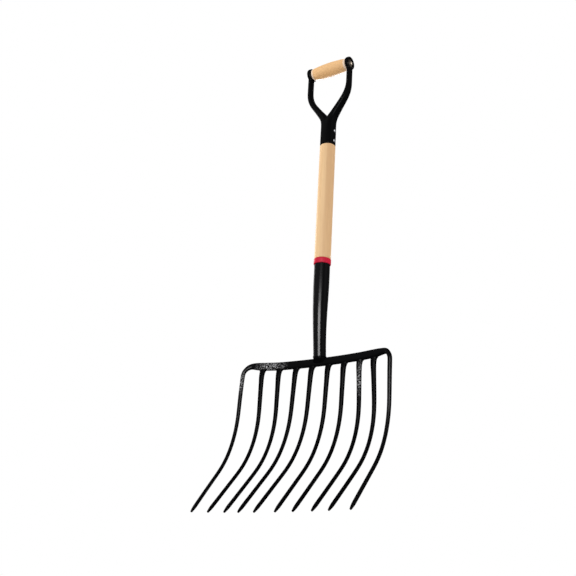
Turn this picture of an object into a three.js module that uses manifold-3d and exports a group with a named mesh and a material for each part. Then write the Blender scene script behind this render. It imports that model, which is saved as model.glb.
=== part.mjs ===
// Ensilage fork: a ten-tine steel head, a tapered steel ferrule, an ash shaft and a D grip.
// Millimetres. +Z runs up the shaft, X along the head bar, and the tines sweep forward, to -Y.

import * as THREE from "three";
import { mergeVertices } from "three/addons/utils/BufferGeometryUtils.js";
import Module from "manifold-3d";

const wasm = await Module();
wasm.setup();

// Fits between pieces
const CLEARANCE = 0.3;
const CUT_OVERRUN = 2;

// Tines. A drop is measured down from the centre line of the head bar.
const TINE_COUNT = 10;
const TINE_PITCH = 45;
const TINE_DROP = 371;
const TINE_JOG = 5.5;
const TINE_JOG_DROP = 26;
const TINE_ROOT_LEAN = THREE.MathUtils.degToRad(0.8);
const TINE_TIP_LEAN = THREE.MathUtils.degToRad(44.6);
const TINE_BEND_DROP = 110;
const TINE_BEND_RADIUS = 236;
const TINE_ROOT_WIDTH = 13.2;
const OUTER_TINE_ROOT_WIDTH = 11.2;
const TINE_ROOT_THICKNESS = 10.2;
const TINE_TIP_WIDTH = 9;
const TINE_TIP_THICKNESS = 7.8;
const TINE_DRAWN_SHARE = 0.55;
const TINE_POINT_LENGTH = 14;
const TINE_POINT_WIDTH = 4.5;
const TINE_POINT_POWER = 1.6;
const TINE_FLARE_WIDTH = 3.4;
const TINE_FLARE_LENGTH = 55;
const TINE_ROUNDNESS_SHARE = 0.94;

// The tines are hammered to their set by hand. Each stands this share of a pitch off its even
// place at the root and at the tip, and bellies forward by this share of its reach halfway down.
const TINE_SPLAY_SHARE = 0.024;
const rootOffsetShares = [-0.11, 0, 0.03, 0.09, 0.08, 0.12, 0.11, 0.09, -0.01, 0.085];
const tipOffsetShares = [0.3, 0.15, 0.03, -0.21, -0.32, -0.12, -0.1, 0, -0.03, 0.2];
const bellyShares = [0.08, 0, -0.01, 0.01, 0, 0.01, -0.01, -0.06, -0.08, 0.02];

// Head bar. Its ends bend down into the two outer tines, and stand forward of its middle. Beyond
// its level part they rise, each by its share of the lift.
const BAR_HEIGHT = 20;
const BAR_THICKNESS = 9;
const BAR_EDGE_RADIUS = 2.4;
const BAR_BOW = 22;
const BAR_CORNER_RADIUS = 22;
const BAR_LIFT = 4;
const BAR_LEVEL_SHARE = 0.58;
const liftShares = [1, 0.4];

// Forged neck on the bar, which carries the ferrule
const NECK_RISE = 2.5;
const NECK_WAIST_SHARE = 0.55;
const NECK_SPREAD = 6;
const NECK_SPREAD_SHARE = 0.25;
const NECK_SPIGOT_HEIGHT = 7;

// Shaft and its bent lower end. Heights are measured up from the centre line of the head bar.
const SHAFT_DIAMETER = 41.5;
const SHAFT_TOP_DIAMETER = 40.5;
const SHAFT_LEAN = THREE.MathUtils.degToRad(4.9);
const SHAFT_BEND_START = 50;
const SHAFT_BEND_LENGTH = 96;
const SHAFT_FOOT = 60;

// Ferrule, collar and their fastenings
const SHEET_THICKNESS = 1.2;
const FERRULE_TOP = 248;
const FERRULE_TOP_DIAMETER = 39.4;
const FERRULE_FOOT_DIAMETER = 31;
const FERRULE_TAPER_START = 20;
const FERRULE_TAPER_END = 215;
const COLLAR_HEIGHT = 14;
const COLLAR_DIAMETER = 43.4;
const COLLAR_EDGE = 1.4;
const WELD_HEIGHT = 3.2;
const WELD_DEPTH = 1;
const WELD_SHOULDER_SHARE = 0.2;
const FERRULE_RIVET_DIAMETER = 5;
const FERRULE_RIVET_DROP = 34;

// Grip yoke: a socket that parts into two channel arms, each with an eye
const YOKE_RIM = 581;
const SOCKET_DIAMETER = 39.7;
const YOKE_PARTING = 42;
const YOKE_BEND_RADIUS = 80;
const YOKE_BEND_ANGLE = THREE.MathUtils.degToRad(36);
const NECKING_LENGTH = 60;
const ARM_FOOT_DEPTH = 21;
const ARM_FOOT_WIDTH = 31;
const ARM_DEPTH = 13;
const ARM_WIDTH = 19;
const ARM_UPRIGHT_LENGTH = 57.1;
const ARM_ROUNDNESS_SHARE = 0.86;
const CHANNEL_WALL = 1.8;
const CHANNEL_START = 72;
const SEAM_WIDTH = 1.6;
const SHAFT_SEAT_DEPTH = 54;
const SHAFT_END_TAPER = 14;
const SHAFT_END_NARROWING = 8;
const YOKE_RIVET_DIAMETER = 4.6;
const YOKE_RIVET_RISE = 12;
const YOKE_RIVET_SPACING = 29;
const RIVET_HEAD_SHARE = 1.9;
const RIVET_HEAD_HEIGHT = 1.7;
const RIVET_SHOULDER_SHARE = 0.75;

// Eyes and cross grip
const GRIP_OFFSET = -2.6;
const GRIP_LENGTH = 108;
const GRIP_MIDDLE_DIAMETER = 38;
const GRIP_END_DIAMETER = 31;
const GRIP_CHAMFER = 2;
const EYE_DIAMETER = 36;
const EYE_DEPTH = 11;
const EYE_EDGE = 1.5;
const EYE_MOUTH_DIAMETER = 27;
const EYE_FLOOR_DIAMETER = 22;
const EYE_FLOOR_THICKNESS = 2.6;
const GRIP_RIVET_DIAMETER = 6;
const GRIP_RIVET_HEAD_DIAMETER = 11;
const GRIP_RIVET_HEAD_HEIGHT = 2.6;
const WASHER_DIAMETER = 17;
const WASHER_THICKNESS = 1.2;

// Facets
const TINE_STATIONS = 14;
const POINT_STATIONS = 4;
const FLARE_STATIONS = 3;
const CORNER_STATIONS = 6;
const FERRULE_STATIONS = 9;
const BEND_STATIONS = 6;
const SECTION_CORNER_POINTS = 3;
const BAR_CORNER_POINTS = 4;
const YOKE_CORNER_POINTS = 6;
const ROUND_SIDES = 28;
const SMALL_ROUND_SIDES = 16;
const GRIP_STATIONS = 8;

// Values worked out from the sizes above
const HALF_SPAN = (TINE_PITCH * (TINE_COUNT - 1)) / 2;
const HALF_GRIP = GRIP_LENGTH / 2;
const FOOT_TENON_DIAMETER = FERRULE_TOP_DIAMETER - 2 * (SHEET_THICKNESS + CLEARANCE);
const TOP_TENON_DIAMETER = SOCKET_DIAMETER - 2 * (SHEET_THICKNESS + CLEARANCE);
const NECK_TOP = BAR_HEIGHT / 2 + NECK_RISE;
const FERRULE_FOOT = NECK_TOP + CLEARANCE;
const SHAFT_END_DIAMETER = TOP_TENON_DIAMETER - SHAFT_END_NARROWING;
const ARM_INNER_X = HALF_GRIP + CLEARANCE;
const ARM_CENTRE_X = ARM_INNER_X + ARM_DEPTH / 2;
const EYE_OUTER_X = ARM_INNER_X + EYE_DEPTH;
const ARM_BEND_REACH = YOKE_BEND_RADIUS * (1 - Math.cos(YOKE_BEND_ANGLE));
const ARM_BEND_RISE = YOKE_BEND_RADIUS * Math.sin(YOKE_BEND_ANGLE);
const ARM_SLOPE_REACH = ARM_CENTRE_X - 2 * ARM_BEND_REACH;
const ARM_SLOPE_RISE = ARM_SLOPE_REACH / Math.tan(YOKE_BEND_ANGLE);
const ARM_START = YOKE_RIM + YOKE_PARTING;
const ARM_BEND_TOP = ARM_START + 2 * ARM_BEND_RISE + ARM_SLOPE_RISE;
const GRIP_HEIGHT = ARM_BEND_TOP + ARM_UPRIGHT_LENGTH;

const lerp = THREE.MathUtils.lerp;
const clamp = THREE.MathUtils.clamp;
const steps = (count) => Array.from({ length: count + 1 }, (_, i) => i / count);

// Materials
const blackPaint = () => new THREE.MeshStandardMaterial({ color: 0x101010, roughness: 0.3, metalness: 0.1 });
const ashWood = () => new THREE.MeshStandardMaterial({ color: 0xdcb98a, roughness: 0.55, metalness: 0 });
const gripWood = () => new THREE.MeshStandardMaterial({ color: 0xdfb27a, roughness: 0.55, metalness: 0 });
const redPlastic = () => new THREE.MeshStandardMaterial({ color: 0xc8243f, roughness: 0.35, metalness: 0 });
const bareSteel = () => new THREE.MeshStandardMaterial({ color: 0xb8b8ba, roughness: 0.35, metalness: 1 });

// Surface through a row of rings with equal numbers of points. The row ends in two caps, or, where
// it is looped, its last ring joins its first, which makes the wall of a tube.
function surface(rings, looped = false) {
  const sides = rings[0].length;
  const positions = rings.flat().flatMap((p) => [p.x, p.y, p.z]);
  const index = [];
  const bands = looped ? rings.length : rings.length - 1;
  for (let i = 0; i < bands; i++) {
    const low = i * sides;
    const high = ((i + 1) % rings.length) * sides;
    for (let j = 0; j < sides; j++) {
      const k = (j + 1) % sides;
      index.push(low + j, low + k, high + k, low + j, high + k, high + j);
    }
  }
  if (!looped) {
    for (const [ring, order] of [[0, -1], [rings.length - 1, 1]]) {
      const centre = positions.length / 3;
      const middle = rings[ring].reduce((sum, p) => sum.add(p), new THREE.Vector3());
      middle.divideScalar(sides);
      positions.push(middle.x, middle.y, middle.z);
      for (let j = 0; j < sides; j++) {
        const here = ring * sides + j;
        const next = ring * sides + ((j + 1) % sides);
        index.push(...(order > 0 ? [centre, here, next] : [centre, next, here]));
      }
    }
  }
  const geometry = new THREE.BufferGeometry();
  geometry.setAttribute("position", new THREE.Float32BufferAttribute(positions, 3));
  geometry.setIndex(index);
  return facingOut(geometry);
}

// Turns the faces round where they enclose a negative volume
function facingOut(geometry) {
  const position = geometry.attributes.position;
  const index = geometry.index.array;
  const [a, b, c] = [new THREE.Vector3(), new THREE.Vector3(), new THREE.Vector3()];
  let volume = 0;
  for (let i = 0; i < index.length; i += 3) {
    a.fromBufferAttribute(position, index[i]);
    b.fromBufferAttribute(position, index[i + 1]);
    c.fromBufferAttribute(position, index[i + 2]);
    volume += a.dot(b.cross(c));
  }
  if (volume < 0) {
    for (let i = 0; i < index.length; i += 3) {
      [index[i + 1], index[i + 2]] = [index[i + 2], index[i + 1]];
    }
  }
  return geometry;
}

// Solid of revolution about X or Z, from points of radius and place along the axis
function revolve(points, axis, sides) {
  const profile = points.map(([radius, along]) => new THREE.Vector2(radius, along));
  const geometry = new THREE.LatheGeometry(profile, sides);
  if (axis === "x") {
    geometry.rotateZ(-Math.PI / 2);
  } else {
    geometry.rotateX(Math.PI / 2);
  }
  return facingOut(geometry);
}

// Solid for joining and cutting, with shared vertices merged and empty triangles left out
function solidOf(geometry) {
  const bare = geometry.clone();
  bare.deleteAttribute("normal");
  bare.deleteAttribute("uv");
  const merged = mergeVertices(bare);
  const triangles = [];
  const index = merged.index.array;
  for (let i = 0; i < index.length; i += 3) {
    const [a, b, c] = [index[i], index[i + 1], index[i + 2]];
    if (a !== b && b !== c && c !== a) {
      triangles.push(a, b, c);
    }
  }
  const mesh = new wasm.Mesh({
    numProp: 3,
    vertProperties: new Float32Array(merged.attributes.position.array),
    triVerts: new Uint32Array(triangles),
  });
  return new wasm.Manifold(mesh);
}

function geometryOf(solid) {
  const mesh = solid.getMesh();
  const geometry = new THREE.BufferGeometry();
  geometry.setAttribute("position", new THREE.BufferAttribute(mesh.vertProperties, 3));
  geometry.setIndex(new THREE.BufferAttribute(mesh.triVerts, 1));
  geometry.computeVertexNormals();
  return geometry;
}

function cut(solid, geometries) {
  return geometries.reduce((left, cutter) => left.subtract(solidOf(cutter)), solid);
}

function named(name, geometry, material) {
  geometry.computeVertexNormals();
  const mesh = new THREE.Mesh(geometry, material);
  mesh.name = name;
  return mesh;
}

// Rounded rectangle across a path: width lies sideways, thickness along the path's front
function section(station) {
  const { centre, tangent, width, thickness, radius, cornerPoints } = station;
  const front = new THREE.Vector3(0, -1, 0);
  front.addScaledVector(tangent, -front.dot(tangent)).normalize();
  const side = new THREE.Vector3().crossVectors(front, tangent);
  const ring = [];
  for (let quarter = 0; quarter < 4; quarter++) {
    const signX = quarter === 0 || quarter === 3 ? 1 : -1;
    const signY = quarter < 2 ? 1 : -1;
    for (const share of steps(cornerPoints - 1)) {
      const angle = ((quarter + share) * Math.PI) / 2;
      const across = signX * (width / 2 - radius) + radius * Math.cos(angle);
      const along = signY * (thickness / 2 - radius) + radius * Math.sin(angle);
      ring.push(centre.clone().addScaledVector(side, across).addScaledVector(front, along));
    }
  }
  return ring;
}

// Ring of a round bar or tube around the shaft's axis
function roundRing(height, radius, sides = ROUND_SIDES) {
  const { centre, lean } = shaftAxis(height);
  const front = new THREE.Vector3(0, Math.cos(lean), Math.sin(lean));
  return steps(sides).slice(0, sides).map((share) => {
    const angle = share * 2 * Math.PI;
    const point = centre.clone().addScaledVector(front, radius * Math.sin(angle));
    point.x += radius * Math.cos(angle);
    return point;
  });
}

// Shaft axis: it leans forward as it leaves the bar, then bends upright
function shaftAxis(height) {
  const past = clamp((height - SHAFT_BEND_START) / SHAFT_BEND_LENGTH, 0, 1);
  const straight = Math.min(height, SHAFT_BEND_START);
  const bent = SHAFT_LEAN * SHAFT_BEND_LENGTH * (past - (past * past) / 2);
  const y = -straight * Math.tan(SHAFT_LEAN) - bent;
  return { centre: new THREE.Vector3(0, y, height), lean: SHAFT_LEAN * (1 - past) };
}

const AXIS_Y = shaftAxis(SHAFT_BEND_START + SHAFT_BEND_LENGTH).centre.y;

// Place of the bar's centre line in front of its middle
function barY(x) {
  return -BAR_BOW * (x / HALF_SPAN) ** 2;
}

// Height of the bar's centre line above its middle
function barLift(x) {
  const beyond = clamp((Math.abs(x) / HALF_SPAN - BAR_LEVEL_SHARE) / (1 - BAR_LEVEL_SHARE), 0, 1);
  return BAR_LIFT * liftShares[x < 0 ? 0 : 1] * beyond;
}

// Eased share of the way from one place to another, level at both ends
function eased(share) {
  return share * share * (3 - 2 * share);
}

// Forward reach of a tine at a drop: a jog at the root, a straight, an arc, and a straight tip
function tineReach(drop) {
  const jog = TINE_JOG * eased(clamp(drop / TINE_JOG_DROP, 0, 1));
  const arcDrop = TINE_BEND_RADIUS * (Math.sin(TINE_TIP_LEAN) - Math.sin(TINE_ROOT_LEAN));
  const straight = Math.min(drop, TINE_BEND_DROP);
  const inArc = clamp(drop - TINE_BEND_DROP, 0, arcDrop);
  const lean = Math.asin(Math.sin(TINE_ROOT_LEAN) + inArc / TINE_BEND_RADIUS);
  const past = Math.max(drop - TINE_BEND_DROP - arcDrop, 0);
  const arcReach = TINE_BEND_RADIUS * (Math.cos(TINE_ROOT_LEAN) - Math.cos(lean));
  return jog + straight * Math.tan(TINE_ROOT_LEAN) + arcReach + past * Math.tan(TINE_TIP_LEAN);
}

// Centre of tine number i at a drop
function tinePoint(i, drop) {
  const share = drop / TINE_DROP;
  const even = i - (TINE_COUNT - 1) / 2;
  const root = even + rootOffsetShares[i];
  const tip = (even + tipOffsetShares[i]) * (1 + TINE_SPLAY_SHARE);
  const belly = bellyShares[i] * tineReach(TINE_DROP) * Math.sin(Math.PI * share);
  const y = barY(root * TINE_PITCH) - tineReach(drop) - belly;
  return new THREE.Vector3(TINE_PITCH * lerp(root, tip, share), y, -drop);
}

// Stations down a tine from a drop to its point
function tineStations(i, top, flared) {
  const shoulder = TINE_DROP - TINE_POINT_LENGTH;
  const flare = flared ? TINE_FLARE_LENGTH : 0;
  const rootWidth = flared ? TINE_ROOT_WIDTH : OUTER_TINE_ROOT_WIDTH;
  const drops = [];
  if (flared) {
    drops.push(...steps(FLARE_STATIONS).slice(0, FLARE_STATIONS).map((s) => top + s * flare));
  }
  drops.push(...steps(TINE_STATIONS).map((s) => lerp(top + flare, shoulder, s)));
  drops.push(...steps(POINT_STATIONS).slice(1).map((s) => lerp(shoulder, TINE_DROP, s)));
  return drops.map((drop, n) => {
    const share = drop / TINE_DROP;
    const pointing = Math.max((drop - shoulder) / TINE_POINT_LENGTH, 0) ** TINE_POINT_POWER;
    const spread = flared ? Math.max(1 - (drop - top) / flare, 0) ** 2 : 0;
    const drawn = Math.min(share / TINE_DRAWN_SHARE, 1);
    const width = lerp(rootWidth, TINE_TIP_WIDTH, drawn) + TINE_FLARE_WIDTH * spread;
    const thick = lerp(TINE_ROOT_THICKNESS, TINE_TIP_THICKNESS, drawn);
    const seated = lerp(thick, Math.min(thick, BAR_THICKNESS), spread);
    const ends = [lerp(width, TINE_POINT_WIDTH, pointing), lerp(seated, TINE_POINT_WIDTH, pointing)];
    const down = tinePoint(i, drop + TINE_POINT_WIDTH).sub(tinePoint(i, drop)).normalize();
    return {
      centre: tinePoint(i, drop),
      tangent: flared && n === 0 ? new THREE.Vector3(0, 0, -1) : down,
      width: ends[0],
      thickness: ends[1],
      radius: (Math.min(...ends) / 2) * TINE_ROUNDNESS_SHARE,
      cornerPoints: SECTION_CORNER_POINTS,
    };
  });
}

// Head bar with its two bent ends, which are the outer tines, and the neck for the ferrule.
// The bar has a station on each side of every inner tine, and is level between the two.
function makeHeadBar() {
  const last = TINE_COUNT - 1;
  const corner = (i) => {
    const end = tinePoint(i, BAR_CORNER_RADIUS);
    const outward = Math.sign(end.x);
    const centreX = end.x - outward * BAR_CORNER_RADIUS;
    return steps(CORNER_STATIONS).map((share) => {
      const angle = (share * Math.PI) / 2;
      const x = centreX + outward * BAR_CORNER_RADIUS * Math.cos(angle);
      const z = lerp(-BAR_CORNER_RADIUS, barLift(x), Math.sin(angle));
      return new THREE.Vector3(x, lerp(end.y, barY(x), share), z);
    });
  };
  const left = corner(0).slice(1);
  const right = corner(last).slice(1).reverse();
  const [from, to] = [left[left.length - 1].x, right[0].x];
  const seat = (TINE_ROOT_WIDTH + TINE_FLARE_WIDTH) / 2 + CLEARANCE;
  const roots = steps(last).slice(1, last).map((share) => tinePoint(share * last, 0).x);
  const taper = Math.min(roots[0] - from, to - roots[roots.length - 1]) - seat;
  const middle = roots.flatMap((root) =>
    [root - seat, root + seat].map((x) => new THREE.Vector3(x, barY(x), barLift(root))),
  );
  const path = [...left, ...middle, ...right];
  const tines = [0, last].map((i) => tineStations(i, BAR_CORNER_RADIUS, false));
  const outer = tines[0][0];
  const bar = path.map((centre, n) => {
    const before = path[n - 1] ?? tines[0][0].centre;
    const after = path[n + 1] ?? tines[1][0].centre;
    const inBend = clamp(-centre.z / BAR_CORNER_RADIUS, 0, 1);
    const toBend = Math.min(centre.x - from, to - centre.x) / taper;
    const full = clamp((1 + Math.min(toBend, 1) - inBend) / 2, 0, 1);
    const width = lerp(outer.width, BAR_HEIGHT, full);
    const tangent = after.clone().sub(before).normalize();
    const outward = new THREE.Vector3(-tangent.z, 0, tangent.x);
    return {
      centre: centre.clone().addScaledVector(outward, ((BAR_HEIGHT - width) / 2) * full),
      tangent,
      width,
      thickness: lerp(outer.thickness, BAR_THICKNESS, full),
      radius: lerp(outer.radius, BAR_EDGE_RADIUS, full),
    };
  });
  const climbing = tines[0].slice().reverse();
  climbing.forEach((station) => station.tangent.negate());
  const stations = [...climbing, ...bar, ...tines[1]];
  const frame = surface(stations.map((station) => section({ ...station, cornerPoints: BAR_CORNER_POINTS })));
  return geometryOf(solidOf(frame).add(solidOf(makeNeck())));
}

// Neck: it spreads from the round foot of the ferrule into the thickness of the bar,
// and ends in a spigot inside the ferrule
function makeNeck() {
  const foot = FERRULE_FOOT_DIAMETER / 2;
  const spigot = foot - SHEET_THICKNESS - CLEARANCE;
  const buried = BAR_THICKNESS / 2 - BAR_EDGE_RADIUS / 2;
  const oval = (height, halfWidth, halfDepth) =>
    roundRing(height, 1).map((p) => {
      const { centre } = shaftAxis(height);
      return new THREE.Vector3(p.x * halfWidth, centre.y + (p.y - centre.y) * halfDepth, height);
    });
  const waist = lerp(buried, foot, NECK_WAIST_SHARE);
  return surface([
    oval(-BAR_HEIGHT * NECK_SPREAD_SHARE, foot + NECK_SPREAD, buried),
    oval(BAR_HEIGHT * NECK_SPREAD_SHARE, foot + NECK_SPREAD / 2, waist),
    roundRing(NECK_TOP - WELD_HEIGHT, foot),
    roundRing(NECK_TOP, foot),
    roundRing(NECK_TOP, spigot),
    roundRing(NECK_TOP + NECK_SPIGOT_HEIGHT, spigot),
  ]);
}

function makeTine(i) {
  const top = BAR_HEIGHT / 2 + CLEARANCE - barLift(tinePoint(i, 0).x);
  return surface(tineStations(i, top, true).map(section));
}

// Outer radius of the ferrule at a height
function ferruleRadius(height) {
  const share = clamp((height - FERRULE_TAPER_START) / (FERRULE_TAPER_END - FERRULE_TAPER_START), 0, 1);
  return lerp(FERRULE_FOOT_DIAMETER, FERRULE_TOP_DIAMETER, eased(share)) / 2;
}

const FERRULE_RIVET_HEIGHT = FERRULE_TOP - FERRULE_RIVET_DROP;

// Ferrule: tapered sheet-steel tube, drilled across for its rivet
function makeFerrule() {
  const heights = steps(FERRULE_STATIONS).map((share) => lerp(FERRULE_FOOT, FERRULE_TOP, share));
  const outside = heights.map((height) => roundRing(height, ferruleRadius(height)));
  const inside = heights.map((height) => roundRing(height, ferruleRadius(height) - SHEET_THICKNESS));
  const tube = surface([...outside, ...inside.reverse()], true);
  const hole = crossHole(FERRULE_RIVET_DIAMETER, FERRULE_RIVET_HEIGHT, FERRULE_TOP_DIAMETER);
  return geometryOf(cut(solidOf(tube), [hole]));
}

// Hole across the shaft along X, clear of its rivet
function crossHole(rivetDiameter, height, across) {
  const radius = rivetDiameter / 2 + CLEARANCE;
  const half = across / 2 + CUT_OVERRUN;
  const hole = revolve([[0, -half], [radius, -half], [radius, half], [0, half]], "x", SMALL_ROUND_SIDES);
  return hole.translate(0, AXIS_Y, height);
}

// Flush rivet through the ferrule and the shaft
function makeFerruleRivet() {
  const radius = FERRULE_RIVET_DIAMETER / 2;
  const half = ferruleRadius(FERRULE_RIVET_HEIGHT);
  const pin = revolve([[0, -half], [radius, -half], [radius, half], [0, half]], "x", SMALL_ROUND_SIDES);
  return pin.translate(0, AXIS_Y, FERRULE_RIVET_HEIGHT);
}

// Weld bead round the seam between neck and ferrule
function makeWeld() {
  const bead = (height, proud) => roundRing(height, FERRULE_FOOT_DIAMETER / 2 + CLEARANCE + proud);
  const seam = NECK_TOP + CLEARANCE / 2;
  const low = seam - WELD_HEIGHT / 2;
  const high = seam + WELD_HEIGHT / 2;
  const shoulder = WELD_HEIGHT * WELD_SHOULDER_SHARE;
  const outside = [bead(low + shoulder, WELD_DEPTH), bead(high - shoulder, WELD_DEPTH)];
  return surface([bead(low, 0), ...outside, bead(high, 0)], true);
}

const SHAFT_TOP = YOKE_RIM + SHAFT_SEAT_DEPTH;
const YOKE_RIVET_HEIGHTS = [YOKE_RIM + YOKE_RIVET_RISE, YOKE_RIM + YOKE_RIVET_RISE + YOKE_RIVET_SPACING];

// Shaft: it fills the ferrule from its foot up, has a shoulder over the collar and one under the
// yoke, and its top tapers inside the yoke's socket
function makeShaft() {
  const inFerrule = (height) => ferruleRadius(height) - SHEET_THICKNESS - CLEARANCE;
  const rings = steps(FERRULE_STATIONS).map((share) => {
    const height = lerp(SHAFT_FOOT, FERRULE_TOP, share);
    return roundRing(height, inFerrule(height));
  });
  const shoulder = FERRULE_TOP + COLLAR_HEIGHT + 2 * CLEARANCE;
  const neck = YOKE_RIM - CLEARANCE;
  rings.push(roundRing(shoulder, FOOT_TENON_DIAMETER / 2), roundRing(shoulder, SHAFT_DIAMETER / 2));
  rings.push(roundRing(neck, SHAFT_TOP_DIAMETER / 2), roundRing(neck, TOP_TENON_DIAMETER / 2));
  rings.push(roundRing(SHAFT_TOP - SHAFT_END_TAPER, TOP_TENON_DIAMETER / 2));
  rings.push(roundRing(SHAFT_TOP, SHAFT_END_DIAMETER / 2));
  const holes = YOKE_RIVET_HEIGHTS.map((height) =>
    crossHole(YOKE_RIVET_DIAMETER, height, SHAFT_DIAMETER),
  );
  holes.push(crossHole(FERRULE_RIVET_DIAMETER, FERRULE_RIVET_HEIGHT, SHAFT_DIAMETER));
  return geometryOf(cut(solidOf(surface(rings)), holes));
}

// Collar: moulded ring over the joint of wood and steel, with rounded edges
function makeCollar() {
  const bore = FOOT_TENON_DIAMETER / 2 + CLEARANCE;
  const outside = COLLAR_DIAMETER / 2;
  const points = [
    [bore, 0],
    [outside - COLLAR_EDGE, 0],
    [outside, COLLAR_EDGE],
    [outside, COLLAR_HEIGHT - COLLAR_EDGE],
    [outside - COLLAR_EDGE, COLLAR_HEIGHT],
    [bore, COLLAR_HEIGHT],
    [bore, 0],
  ];
  return revolve(points, "z", ROUND_SIDES).translate(0, AXIS_Y, FERRULE_TOP + CLEARANCE);
}

// Centre line of the right arm: up from the rim, out through two bends, and up again to the eye
function armPath() {
  const bend = YOKE_BEND_RADIUS;
  const place = (x, z) => new THREE.Vector3(x, AXIS_Y, z);
  const path = [place(0, YOKE_RIM), place(0, ARM_START)];
  for (const share of steps(BEND_STATIONS).slice(1)) {
    const turn = share * YOKE_BEND_ANGLE;
    path.push(place(bend * (1 - Math.cos(turn)), ARM_START + bend * Math.sin(turn)));
  }
  const foot = place(ARM_CENTRE_X - ARM_BEND_REACH, ARM_BEND_TOP - ARM_BEND_RISE);
  path.push(path[path.length - 1].clone().lerp(foot, 1 / 2));
  for (const share of steps(BEND_STATIONS)) {
    const turn = (1 - share) * YOKE_BEND_ANGLE;
    path.push(place(ARM_CENTRE_X - bend * (1 - Math.cos(turn)), ARM_BEND_TOP - bend * Math.sin(turn)));
  }
  path.push(place(ARM_CENTRE_X, GRIP_HEIGHT - (EYE_MOUTH_DIAMETER + EYE_DIAMETER) / 4));
  return path;
}

// Section sizes of the yoke at a height: the round socket draws in to the flat arm
function armSection(height) {
  const drawnIn = eased(clamp((height - ARM_START) / NECKING_LENGTH, 0, 1));
  const up = clamp((height - ARM_START) / (ARM_BEND_TOP - ARM_START), 0, 1);
  const depth = lerp(SOCKET_DIAMETER, lerp(ARM_FOOT_DEPTH, ARM_DEPTH, up), drawnIn);
  const width = lerp(SOCKET_DIAMETER, lerp(ARM_FOOT_WIDTH, ARM_WIDTH, up), drawnIn);
  const round = lerp(1, ARM_ROUNDNESS_SHARE, drawnIn);
  return { width: depth, thickness: width, radius: (Math.min(depth, width) / 2) * round };
}

function tangentAt(path, n) {
  const after = path[Math.min(n + 1, path.length - 1)];
  return after.clone().sub(path[Math.max(n - 1, 0)]).normalize();
}

// One half of the yoke on the +X side, kept to its own side of the middle
function makeYokeHalf() {
  const path = armPath();
  const rings = path.map((centre, n) => {
    const upright = n < 2 || n === path.length - 1;
    const tangent = upright ? new THREE.Vector3(0, 0, 1) : tangentAt(path, n);
    const ring = section({ centre, tangent, cornerPoints: YOKE_CORNER_POINTS, ...armSection(centre.z) });
    ring.forEach((point) => (point.x = Math.max(point.x, -CLEARANCE)));
    return ring;
  });
  return surface(rings);
}

// Channel pressed into the back of the arm
function makeChannelCutter() {
  const path = armPath().filter((point) => point.z > ARM_START + CHANNEL_START);
  const foot = path[0];
  const rings = path.map((centre, n) => {
    const size = armSection(centre.z);
    const open = size.thickness / 2 + CUT_OVERRUN;
    const front = size.thickness / 2 - CHANNEL_WALL;
    const end = n === 0 || n === path.length - 1;
    const shift = new THREE.Vector3(0, (open - front) / 2, 0);
    return section({
      centre: centre.clone().add(shift),
      tangent: end && centre !== foot ? new THREE.Vector3(0, 0, 1) : tangentAt(path, n),
      width: size.width - 2 * CHANNEL_WALL,
      thickness: open + front,
      radius: CHANNEL_WALL,
      cornerPoints: SECTION_CORNER_POINTS,
    });
  });
  return surface(rings);
}

// Eye: a dished round boss at the top of the arm, bored for the long rivet
function makeEye() {
  const bore = GRIP_RIVET_DIAMETER / 2 + CLEARANCE;
  const outside = EYE_DIAMETER / 2;
  const floor = ARM_INNER_X + EYE_FLOOR_THICKNESS;
  const points = [
    [bore, ARM_INNER_X],
    [outside - EYE_EDGE, ARM_INNER_X],
    [outside, ARM_INNER_X + EYE_EDGE],
    [outside, EYE_OUTER_X - EYE_EDGE],
    [outside - EYE_EDGE, EYE_OUTER_X],
    [EYE_MOUTH_DIAMETER / 2, EYE_OUTER_X],
    [EYE_FLOOR_DIAMETER / 2, floor],
    [bore, floor],
    [bore, ARM_INNER_X],
  ];
  return revolve(points, "x", ROUND_SIDES).translate(0, AXIS_Y, GRIP_HEIGHT);
}

// Carries a geometry sideways by the grip's offset, from nothing at the parting to all of it
// where the arms run straight
function setOver(geometry) {
  const position = geometry.attributes.position;
  for (let i = 0; i < position.count; i++) {
    const share = clamp((position.getZ(i) - ARM_START) / (ARM_BEND_TOP - ARM_START), 0, 1);
    position.setX(i, position.getX(i) + GRIP_OFFSET * eased(share));
  }
  return geometry;
}

// Yoke: both halves and eyes in one, with the shaft's seat, the back seam and the rivet holes
function makeYoke() {
  const half = solidOf(makeYokeHalf()).add(solidOf(makeEye()));
  const arm = cut(half, [makeChannelCutter()]);
  const body = arm.add(arm.mirror([1, 0, 0]));
  const seat = TOP_TENON_DIAMETER / 2 + CLEARANCE;
  const seatEnd = SHAFT_END_DIAMETER / 2 + CLEARANCE;
  const roof = SHAFT_TOP + CLEARANCE;
  const points = [
    [0, YOKE_RIM - CUT_OVERRUN],
    [seat, YOKE_RIM - CUT_OVERRUN],
    [seat, SHAFT_TOP - SHAFT_END_TAPER + CLEARANCE],
    [seatEnd, roof],
    [0, roof],
  ];
  const bore = revolve(points, "z", ROUND_SIDES).translate(0, AXIS_Y, 0);
  const seam = new THREE.BoxGeometry(SEAM_WIDTH, SOCKET_DIAMETER / 2, roof - YOKE_RIM + CUT_OVERRUN);
  const seamCentre = (roof + YOKE_RIM - CUT_OVERRUN) / 2;
  seam.translate(0, AXIS_Y + SOCKET_DIAMETER / 2, seamCentre - CUT_OVERRUN);
  const holes = YOKE_RIVET_HEIGHTS.map((height) =>
    crossHole(YOKE_RIVET_DIAMETER, height, SOCKET_DIAMETER),
  );
  return setOver(geometryOf(cut(body, [bore, seam, ...holes])));
}

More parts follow.
